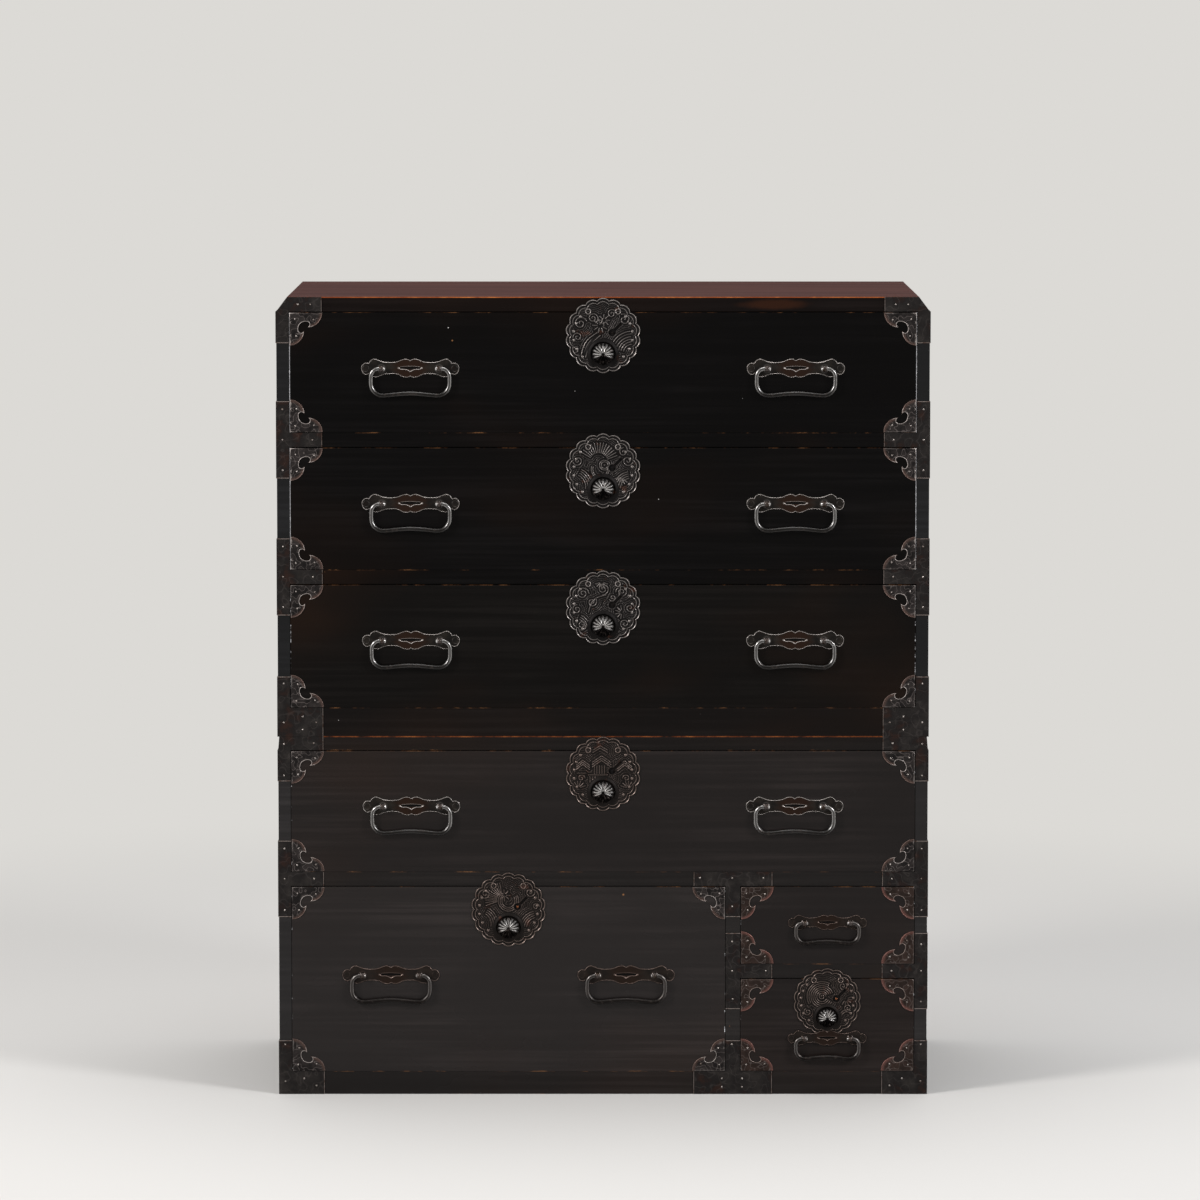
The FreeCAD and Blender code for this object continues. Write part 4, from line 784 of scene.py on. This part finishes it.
motifs = {  # ridges in mm round the plate's centre: waves, scrolls, fans and roof lines
    1: [(arcs, (40, -24, (12, 15.5, 19, 22.5, 30), 95, 168)),
        (scroll, (-31, 17, 9, 1.5, 20), (-35, -2, 6.5, 1.4, 200, -1), (29, 22, 8, 1.4, 120, -1),
         (-14, 24, 7.5, 1.7, 300), (12, 30, 6.5, 1.5, 10), (-37, -20, 5, 1.3, 60)),
        (rays, (-4, 14, 4, 10, 30, 330, 9), (1, 21, 3, 8, 0, 315, 8)),
        (sprig, (-30, -28, -8, 4, 0.14), (-24, -30, -4, 0, 0.1))],
    2: [(arcs, (-4, 2, (10, 12.2), 160, 380), (-42, -22, (18, 21, 24, 27), -8, 62),
         (38, -24, (14, 17, 20, 23), 100, 178), (2, 8, (4.5, 6.8), 0, 330)),
        (rays, (-6, 12, 13, 27, 20, 150, 15), (24, -8, 3, 12, 200, 320, 7)),
        (scroll, (34, 14, 8, 1.6, 40, -1), (-35, 14, 7, 1.5, 180), (28, 26, 6, 1.3, 90))],
    3: [(scroll, (-28, 20, 8.5, 1.8, 0), (26, 22, 8.5, 1.8, 180, -1), (-36, -2, 6.5, 1.5, 90),
         (37, 0, 6.5, 1.5, 60, -1), (0, 26, 8, 1.8, 270), (-15, 8, 6.5, 1.5, 30, -1), (-29, -24, 7, 1.6, 240),
         (30, -22, 7, 1.6, 300, -1), (13, 14, 5, 1.3, 210)),
        (rays, (-2, 36, 3, 9, 200, 340, 7), (26, -6, 3, 9, 100, 260, 6)),
        (arcs, (-40, -30, (16, 19, 22), 10, 62)),
        (sprig, (-20, -6, 4, 18, 0.2), (6, 4, 24, 32, -0.2))],
    4: [(chevrons, (-2, 16, 13, 9, 3, 3.2), (-28, 12, 9, 7, 3, 3.0), (30, 10, 10, 8, 3, 3.0), (-4, 33, 10, 6, 2, 3.2)),
        (stroke, *((x, 11, x, 0) for x in (-12, -8.5, -5, -1.5, 2)), *((x, -4, x, -12) for x in (-18, -14.5, -11)),
         (-20, -1.5, 6, -1.5), (-36, 1, -24, 1)),
        (rays, (-34, -20, 3, 10, 20, 150, 6), (34, -20, 3, 10, 30, 160, 6)),
        (scroll, (-30, -6, 5, 1.3, 0), (32, -6, 5, 1.3, 180, -1))],
    5: [(arcs, (0, 12, (9, 11.5, 14), 130, 395), (-40, -20, (16, 19, 22, 25), -12, 60),
         (40, -26, (15, 18, 21, 24), 104, 172)),
        (rays, (-8, 14, 8, 24, 100, 200, 12), (-6, 20, 3, 8, 0, 320, 8)),
        (scroll, (30, 24, 7.5, 1.6, 80, -1), (-32, 22, 7, 1.5, 200), (38, 4, 5, 1.3, 0))],
    7: [(arcs, (-8, 8, (8, 11, 14, 17), 20, 330), (-8, 8, (20, 23), 60, 210), (30, -24, (8, 11), 60, 170)),
        (scroll, (-8, 8, 6, 1.6, 0), (24, 24, 6.5, 1.5, 40, -1), (-30, -16, 6, 1.5, 120), (32, -10, 6, 1.4, 250, -1)),
        (rays, (28, 4, 4, 10, 240, 380, 6))],
}


def lockPlate(piece, index, cx, cz, radius, drop, head):
    finish, scale = "chasedBrown" if index > 3 else "chased", radius / lock["usual"][0]
    around, across, lobe = lock["around"], lock["across"], lock["lobeRadius"]
    angle = np.arange(around) * 2 * math.pi / around
    step = 2 * math.pi / lock["lobes"]
    off = (angle - math.pi / 2 + step / 2) % step - step / 2
    edge = (radius - lobe) * np.cos(off) + np.sqrt(lobe**2 - ((radius - lobe) * np.sin(off)) ** 2)
    share = np.concatenate([[0.012], np.linspace(0.03, 0.86, across - 16), np.linspace(0.872, 1.0, 15)])
    s, r = np.meshgrid(share, edge, indexing="ij")
    a = np.broadcast_to(angle, s.shape)
    x, z = s * r * np.cos(a), s * r * np.sin(a)
    inward = (1 - s) * r
    rim = 0.95 * bead(inward, 1.0, 0.75) + 0.85 * bead(inward, 5.4, 0.65)
    lines = [line * scale for draw, *rows in motifs[index] for row in rows for line in draw(*row)]
    away = np.minimum.reduce([awayFrom(x, z, line) for line in lines])
    echo = 0.58 * bead(away % 2.4, 1.2, 0.45) * smoothStep(away, 1.2, 1.8)  # fine lines that follow each figure
    chase = np.maximum(0.75 * bead(away, 0.0, 0.6), echo)
    bosses = np.zeros_like(x)
    ringX, ringZ = lock["rings"]
    for side in (-1, 1):
        away = np.hypot(x - side * ringX * scale, z - ringZ * scale)
        bosses = np.maximum(bosses, 0.9 * bead(away, 3.4, 0.8) + 0.7 * bead(away, 0, 1.0))
        chase = chase * smoothStep(away, 4.2, 5.4)
    wide, tall = lock["nail"]
    for degrees in lock["nails"]:
        turn, out = math.radians(degrees), lock["nailCircle"] * scale
        away = np.hypot(x - out * math.cos(turn), z - out * math.sin(turn))
        bosses = np.maximum(bosses, tall * np.sqrt(np.clip(1 - (away / wide) ** 2, 0, 1)))
    fromButton = np.hypot(x, z + drop)
    upper = smoothStep((z + drop) / np.maximum(fromButton, 1), -0.75, 0.1)
    collar = smoothStep(fromButton, 23.0 * scale, 17.0 * scale)
    collar = 2.2 * collar * smoothStep(fromButton, head + 0.9, head + 2.4) * upper
    collar += 0.5 * bead(fromButton, 22.6 * scale, 0.7) * upper
    kx, kz, hole = lock["keyhole"]
    slotWide, slotLong = lock["slot"]
    fromKey = np.hypot(x - kx, z - kz)
    along = ((x - kx) + (z - kz)) / math.sqrt(2)
    beside = np.abs((x - kx) - (z - kz)) / math.sqrt(2)
    keyed = (fromKey < hole) | ((along > 0) & (along < slotLong) & (beside < slotWide / 2))
    near = np.where((along > -2) & (along < slotLong + 2), beside - slotWide / 2, 9)
    near = np.minimum(fromKey - hole, near)
    chase = chase * smoothStep(inward, 6.2, 7.4) * smoothStep(fromButton, 20 * scale, 23 * scale)
    chase = chase * smoothStep(near, 0.8, 2.0)
    bosses = bosses * smoothStep(fromButton, 22 * scale, 23 * scale) * smoothStep(near, 0.4, 1.2)
    dome = 0.9 * (1 - (np.hypot(x, z) / radius) ** 2)
    raised = rim + np.maximum(chase, bosses)
    ring = 0.45 * bead(near, 1.0, 0.7)
    height = np.where(keyed, -1.0, dome * 0.6 + raised + collar + ring)
    height[-1, :] = 0.25
    relief = np.clip((raised + ring) / 0.9 + 0.25 * collar / 2.5, 0, 1)
    verts = np.stack([cx + x, frontY - lock["thickness"] + 0.5 - height, cz + z], -1).reshape(-1, 3)
    rimVerts = [(cx + e * math.cos(t), frontY, cz + e * math.sin(t)) for e, t in zip(edge, angle)]
    quads = bands(across, around)  # the last row stands on the drawer's front
    pit = (keyed[:-1, :] & keyed[1:, :] & np.roll(keyed, -1, 1)[:-1, :]).reshape(-1)
    start = piece.add([*verts, *rimVerts], [q for q, p in zip(quads, pit) if not p], finish,
                      [*relief.reshape(-1)] + [0.0] * around)
    base = across * around
    piece.more(quads[-around:] + [[*range(around)], [*range(base, base + around)]], finish, start)
    # the keyhole's pit is painted black as its shade
    piece.more([q for q, p in zip(quads, pit) if p], "shadow", start)
    # on drawers 1 to 4 the key pin is painted black as shade too
    turned(piece, (cx + kx, frontY - 1.0, cz + kz), (0, -1, 0), lock["pin"], "pin" if index > 4 else "shadow", 12)


def buttonHead(piece, cx, cz, radius):
    # A chrysanthemum with round petals on a square stem, whose slanted tip lifts the bolt.
    around, across = lock["petals"] * 14, 22
    angle = np.arange(around) * 2 * math.pi / around
    petal = np.abs(np.cos(angle * lock["petals"] / 2))  # 1 on a petal's ridge, 0 in the groove
    s, p = np.meshgrid(np.linspace(0.02, 1.0, across), petal, indexing="ij")
    a = np.broadcast_to(angle, s.shape)
    reach = radius * (1 - 0.075 * (1 - p**0.6) * smoothStep(s, 0.25, 0.8))
    cushion = np.sqrt(np.clip(1 - (s * 0.97) ** 2.4, 0, 1))
    groove = smoothStep(s, 0.12, 0.35) * (1 - p**0.55)
    height = 5.3 * cushion - 1.3 * groove * np.sqrt(np.clip(1.04 - s, 0, 1)) - 0.5 * groove
    foot = frontY - 5.0
    x, z = s * reach * np.cos(a), s * reach * np.sin(a)
    verts = np.stack([cx + x, foot - np.clip(height, 0.0, 5.6), cz + z], -1).reshape(-1, 3)
    rim = [(cx + r * math.cos(t), foot, cz + r * math.sin(t)) for r, t in zip(reach[-1], angle)]
    ends = [[*range(around)], [*range(across * around, (across + 1) * around)]]
    paintedLightFromAbove = smoothStep(np.sin(a), -0.6, -0.15) * (0.5 + 0.5 * np.abs(np.cos(a)))  # painted light from above: the side and upper petals are painted bright, the lower ones dark
    # a painted highlight on the petals' ridges, with painted shade in the grooves, at the middle and towards the rim
    bright = (0.05 + 0.95 * p**1.6) * paintedLightFromAbove * smoothStep(s, 0.1, 0.28) * (1 - 0.9 * smoothStep(s, 0.35, 0.9))
    piece.add([*verts, *rim], bands(across, around) + ends, "button",
              np.concatenate([bright.reshape(-1), np.full(around, 0.1)]))
    half, tip, slant = 3.0, 9.5, 0.75
    ring = [(cx - half, cz - half), (cx + half, cz - half), (cx + half, cz + half), (cx - half, cz + half)]
    stem = [(x, foot, z) for x, z in ring] + [(x, frontY + tip + (slant if z < cz else -slant), z) for x, z in ring]
    piece.add(stem, [[0, 1, 2, 3], [4, 5, 6, 7]] + bands(1, 4), "iron")


fittings = {  # middle of each handle, height of the handles' pivot, middle of the lock plate
    1: ({"_left": -265, "_right": 265}, 1009.7, (0, 1055.2)), 2: ({"_left": -265, "_right": 265}, 823.2, (0, 868.7)),
    3: ({"_left": -265, "_right": 265}, 633.7, (0, 679.2)), 4: ({"_left": -265, "_right": 265}, 403.0, (0, 448.5)),
    5: ({"_left": -294, "_right": 32}, 167.0, (-131, 259.0)), 6: ({"": 311}, 240.4, None),
    7: ({"": 311}, 78.7, (311, 130.0)),
}


def cornerPlates(index, body, node):
    # four chased plates on the corners of the drawer's front, and their rivets
    plates, studs = Piece(f"drawer{index}CornerPlates"), []
    lit = cornerPlate["litSide"][0 if index < 3 else 1]
    face = frontY - cornerPlate["thickness"]
    for x, z, sx, sz in cornersOf(f"{body}_front"):
        chasedSheet(plates, cornerLine, cornerFill, lambda *at: cornerShape(*at, lit), (x, z, sx, sz), frontY, face,
                    "rustedIron" if index in (6, 7) else "plateIron")
        studs += [(x + sx * a, face, z + sz * b) for a, b in cornerPlate["rivets"]]
    plates.finish(body, [node])
    return studs


def bail(name, body, x, pivotY, pivot, share, depth, grip):
    # the swinging bar and the knob at each of its ends
    path = bailPath(share, depth)
    thin, thick, more = handle["bar"]
    radii = [thin if i < 2 or i > len(path) - 3 else thick + more * min(1, abs(z) / 30)
             for i, (a, z) in enumerate(path)]
    swing = Piece(name)
    # painted highlight: the arms bright, the bottom bar dark, and the bar's front dark between bright flanks, as lamps
    # at the sides would light them
    flatness = smoothStep(np.array([-z / depth for a, z in path]), 0.99, 0.6)
    bars(swing, [[(x + a, pivotY, pivot + b) for a, b in path]], radii, grip, 16, 0.12 + 0.88 * flatness, 0.05)
    for sign in (-1, 1):
        knob = x + sign * (handle["eye"] * share - handle["eyeLength"] / 2)
        turned(swing, (knob, pivotY, pivot), (-sign, 0, 0), handle["bailKnob"], grip, 14)
    swing.finish(body, [body], "worn_iron")


def handles(index, body, node, places, pivot):
    grips = Piece(f"drawer{index}HandlePlates")
    share, depth = handle["small" if index > 5 else "usual"]
    plateY = frontY - (lock["thickness"] if index == 7 else 0)  # the last handle's plate lies on the lock plate
    faceY = plateY - handle["thickness"]
    pivotY = faceY - handle["pivotOut"]
    for side, x in places.items():
        chasedSheet(grips, handleLine, handleFill, handleShape, (x, pivot, share, share), plateY, faceY + 0.4,
                    "handlePlateBrown" if index > 4 else "handlePlate")
        for sign in (-1, 1):
            ex = x + sign * handle["eye"] * share
            turned(grips, (ex - handle["eyeLength"] / 2, pivotY, pivot), (1, 0, 0), handle["eyeKnob"], "eye", 18)
            turned(grips, (ex, faceY + 0.1, pivot), (0, -1, 0), handle["eyeFoot"], "eye", 16)
        bail(f"bail{index}{side.replace('_', '').capitalize()}", f"bail_{index}{side}", x, pivotY, pivot, share, depth,
             "bailDim" if index > 4 else "bail")
    grips.finish(body, [node])


def lockCase(index, body, node):
    # the lock's case, let into the back of the front board
    case = cleanCopy(nodes[node].data)
    ahead = [f for f in case.faces if min(v.co.y for v in f.verts) < (frontY + 0.1) * mm]
    bmesh.ops.delete(case, geom=ahead, context="FACES")
    mesh = bpy.data.meshes.new(f"drawer{index}LockCase")
    case.to_mesh(mesh)
    case.free()
    mesh.materials.append(finishes["iron"])
    addObject(mesh.name, mesh, body, replaced=[node])
    print("lock case", index, len(mesh.polygons), "faces")


cornerLine, handleLine = cornerOutline(), handleOutline()
cornerFill = fillOutline(cornerLine, 1.3, (0.3, 0.6, 0.95, 1.4, 2.1, 2.6, 3.1))
handleFill = fillOutline(handleLine, 1.1, (0.35, 0.75, 1.2, 1.7), [handleLip, handleSlit, handleBrow])
print("plates filled:", len(cornerFill[1]), len(handleFill[1]))
for index, (places, pivot, lockAt) in fittings.items():
    body, node = f"drawer_{index}", f"drawer_{index}_ironwork"
    studs = cornerPlates(index, body, node)
    handles(index, body, node, places, pivot)
    if lockAt:
        radius, drop, head = lock["small" if index == 7 else "usual"]
        shield = Piece(f"drawer{index}LockPlate")
        lockPlate(shield, index, *lockAt, radius, drop, head)
        shield.finish(body, [node])
        lockCase(index, body, node)
        button = Piece(f"lockButton{index}")
        buttonHead(button, lockAt[0], lockAt[1] - drop, head)
        button.finish(f"lock_button_{index}", [f"lock_button_{index}"], "worn_iron")
    rivets(f"drawer{index}Rivets", body, studs, *cornerPlate["rivet"])
    print("drawer", index, "dressed")

caseFront = -215.0  # the face of the case's own irons
caseRivet = (1.4, 1.0)  # radius and height
caseStuds = {  # x and z of the rivets that stand on both sides, and of those that stand once
    "upper_case": ([(419, 1098.0), (402, 1098.0), (441, 1043.0), (441, 869.5), (441, 911.5), (441, 953.5), (400, 911.5),
                    (441, 680.0), (441, 722.0), (441, 764.0), (400, 722.0), (441, 574), (441, 520), (415, 528),
                    (415, 510), (396, 520)], []),
    "lower_case": ([(441, 490), (441, 446), (441, 344), (441, 302), (441, 258), (441, 70), (441, 18), (400, 491),
                    (400, 302), (415, 22), (398, 12)],
                   [(134.2, 303), (179, 303), (222, 303), (179, 263.4), (179, 214.2), (179, 173), (225.8, 173),
                    (179.9, 133.5), (179, 70), (165, 22), (193, 22), (165, 10), (193, 10), (400, 173), (441, 210),
                    (441, 130), (441, 173)]),
}
caseWood = {"upper_case": ["upper_top_board", "upper_front_rails", "upper_base_rail", "upper_side_boards"],
            "lower_case": ["lower_top_board", "lower_front_rails", "lower_base_rail", "lower_side_boards",
                           "lower_partition"]}
woodFront = -213.5  # wood behind this plane isn't on the front


def hitAt(names, x, z):
    # how far forward these nodes reach at this place on the front, in mm, and 999 where none is met
    best = 999.0
    for name in names:
        hit, spot, *_ = nodes[name].ray_cast((x * mm, -0.3, z * mm), (0, 1, 0))
        if hit:
            best = min(best, spot.y / mm)
    return best


def rubbedAndHighlitEdges(body, node):
    # the irons' edges that end over wood, where they catch the light, each as three points; their bright iron is partly
    # rubbed and partly a painted highlight
    copy = cleanCopy(nodes[node].data)
    wornAndHighlight = []
    for edge in copy.edges:
        if len(edge.link_faces) != 2 or edge.calc_face_angle(0) < 0.6:
            continue
        a, b = (np.array([c / mm for c in v.co]) for v in edge.verts)
        length = np.linalg.norm(b - a)
        if abs(a[1] - caseFront) > 0.05 or abs(b[1] - caseFront) > 0.05 or length < 2:
            continue
        middle, aside = (a + b) / 2, np.cross((b - a) / length, [0, 1, 0]) * 0.8
        if any(hitAt([node], m[0], m[2]) > caseFront + 0.3 and hitAt(caseWood[body], m[0], m[2]) < woodFront
               for m in (middle + aside, middle - aside)):
            wornAndHighlight.append([a, middle, b])
    copy.free()
    return wornAndHighlight


for body, (paired, single) in caseStuds.items():
    node, label = body.replace("case", "corner_irons"), body.split("_")[0]
    spots = [(sign * x, caseFront, z) for sign in (-1, 1) for x, z in paired] + [(x, caseFront, z) for x, z in single]
    spots = [s for s in spots if abs(hitAt([node], s[0], s[2]) - caseFront) < 0.3]
    rivets(f"{label}CaseRivets", body, spots, *caseRivet)
    edging = Piece(f"{label}IronEdges")
    bars(edging, rubbedAndHighlitEdges(body, node), 0.5, "rim", 6)
    edging.finish(body)
print("case irons dressed")

stage = {"floor": "#d6d3cf", "wall": "#dcdad6", "floorSize": 14.0, "fade": (1.0, 2.6), "skylight": (0.9, 0.94, 1.0, 1),
         "skyStrength": 0.35}


def seenRay(tree):
    # 1 for what the camera sees straight, in gloss or through glass
    path = addNode(tree, "LightPath").node.outputs
    seen = addNode(tree, "Math", [path["Is Camera Ray"], path["Is Glossy Ray"]], operation="MAXIMUM")
    return addNode(tree, "Math", [seen, path["Is Transmission Ray"]], operation="MAXIMUM")


def paleFloor():
    size = stage["floorSize"]
    mesh = bpy.data.meshes.new("paleFloor")
    mesh.from_pydata([(-size, -size, 0), (size, -size, 0), (size, size, 0), (-size, size, 0)], [], [[0, 1, 2, 3]])
    material, tree, place = startMaterial("paleFloor")
    away = addNode(tree, "VectorMath", [place], "Value", operation="LENGTH")
    far = addNode(tree, "MapRange", [away, stage["fade"][0], stage["fade"][1]], **softStep)
    far = addNode(tree, "Math", [far, seenRay(tree)], operation="MULTIPLY")
    lying = addNode(tree, "BsdfPrincipled", {"Base Color": stage["floor"], "Roughness": 0.9})
    glow = addNode(tree, "Emission", {"Color": stage["wall"], "Strength": 1.0})
    addNode(tree, "OutputMaterial", {"Surface": addNode(tree, "MixShader", [far, lying, glow])})
    mesh.materials.append(material)
    addObject("paleFloor", mesh)


def paleWorld():
    world = bpy.data.worlds.new("studio")
    scene.world = world
    world.use_nodes = True
    tree = world.node_tree
    tree.nodes.clear()
    seen = addNode(tree, "Background", {"Color": stage["wall"], "Strength": 1.0})
    lit = addNode(tree, "Background", {"Color": stage["skylight"], "Strength": stage["skyStrength"]})
    addNode(tree, "OutputWorld", {"Surface": addNode(tree, "MixShader", [seenRay(tree), lit, seen])})


paleFloor()
paleWorld()

lamps = {  # place, aimed at, size, power, colour
    "leftLamp": ((-3.6, -2.8, 2.9), (0, -0.2, 0.6), 1.3, 155, (1, 0.985, 0.97)),
    "rightLamp": ((3.6, -2.8, 2.9), (0, -0.2, 0.6), 1.3, 130, (0.97, 0.98, 1)),
    "topLamp": ((0.0, 0.3, 3.6), (0, 0, 0.6), 2.4, 60, (1, 1, 1)),
}
for name, (spot, aim, wide, power, colour) in lamps.items():
    data = bpy.data.lights.new(name, "AREA")
    data.shape, data.size, data.energy, data.color = "DISK", wide, power, colour
    made = addObject(name, data)
    made.location = spot
    x, y, z = (b - a for a, b in zip(spot, aim))
    made.rotation_euler = (math.atan2(math.hypot(x, y), -z), 0, math.atan2(-x, y))

lens = {"focal": 174.96, "sensor": 36, "place": (-0.0042, -8.2144, 1.527), "pitch": 5.03, "shift": -0.08, "far": 100}
data = bpy.data.cameras.new("camera")
data.lens, data.sensor_width, data.shift_y, data.clip_end = lens["focal"], lens["sensor"], lens["shift"], lens["far"]
scene.camera = addObject("camera", data)
scene.camera.location = lens["place"]
scene.camera.rotation_euler = (math.radians(90 - lens["pitch"]), 0, 0)
scene.view_settings.view_transform = "Standard"
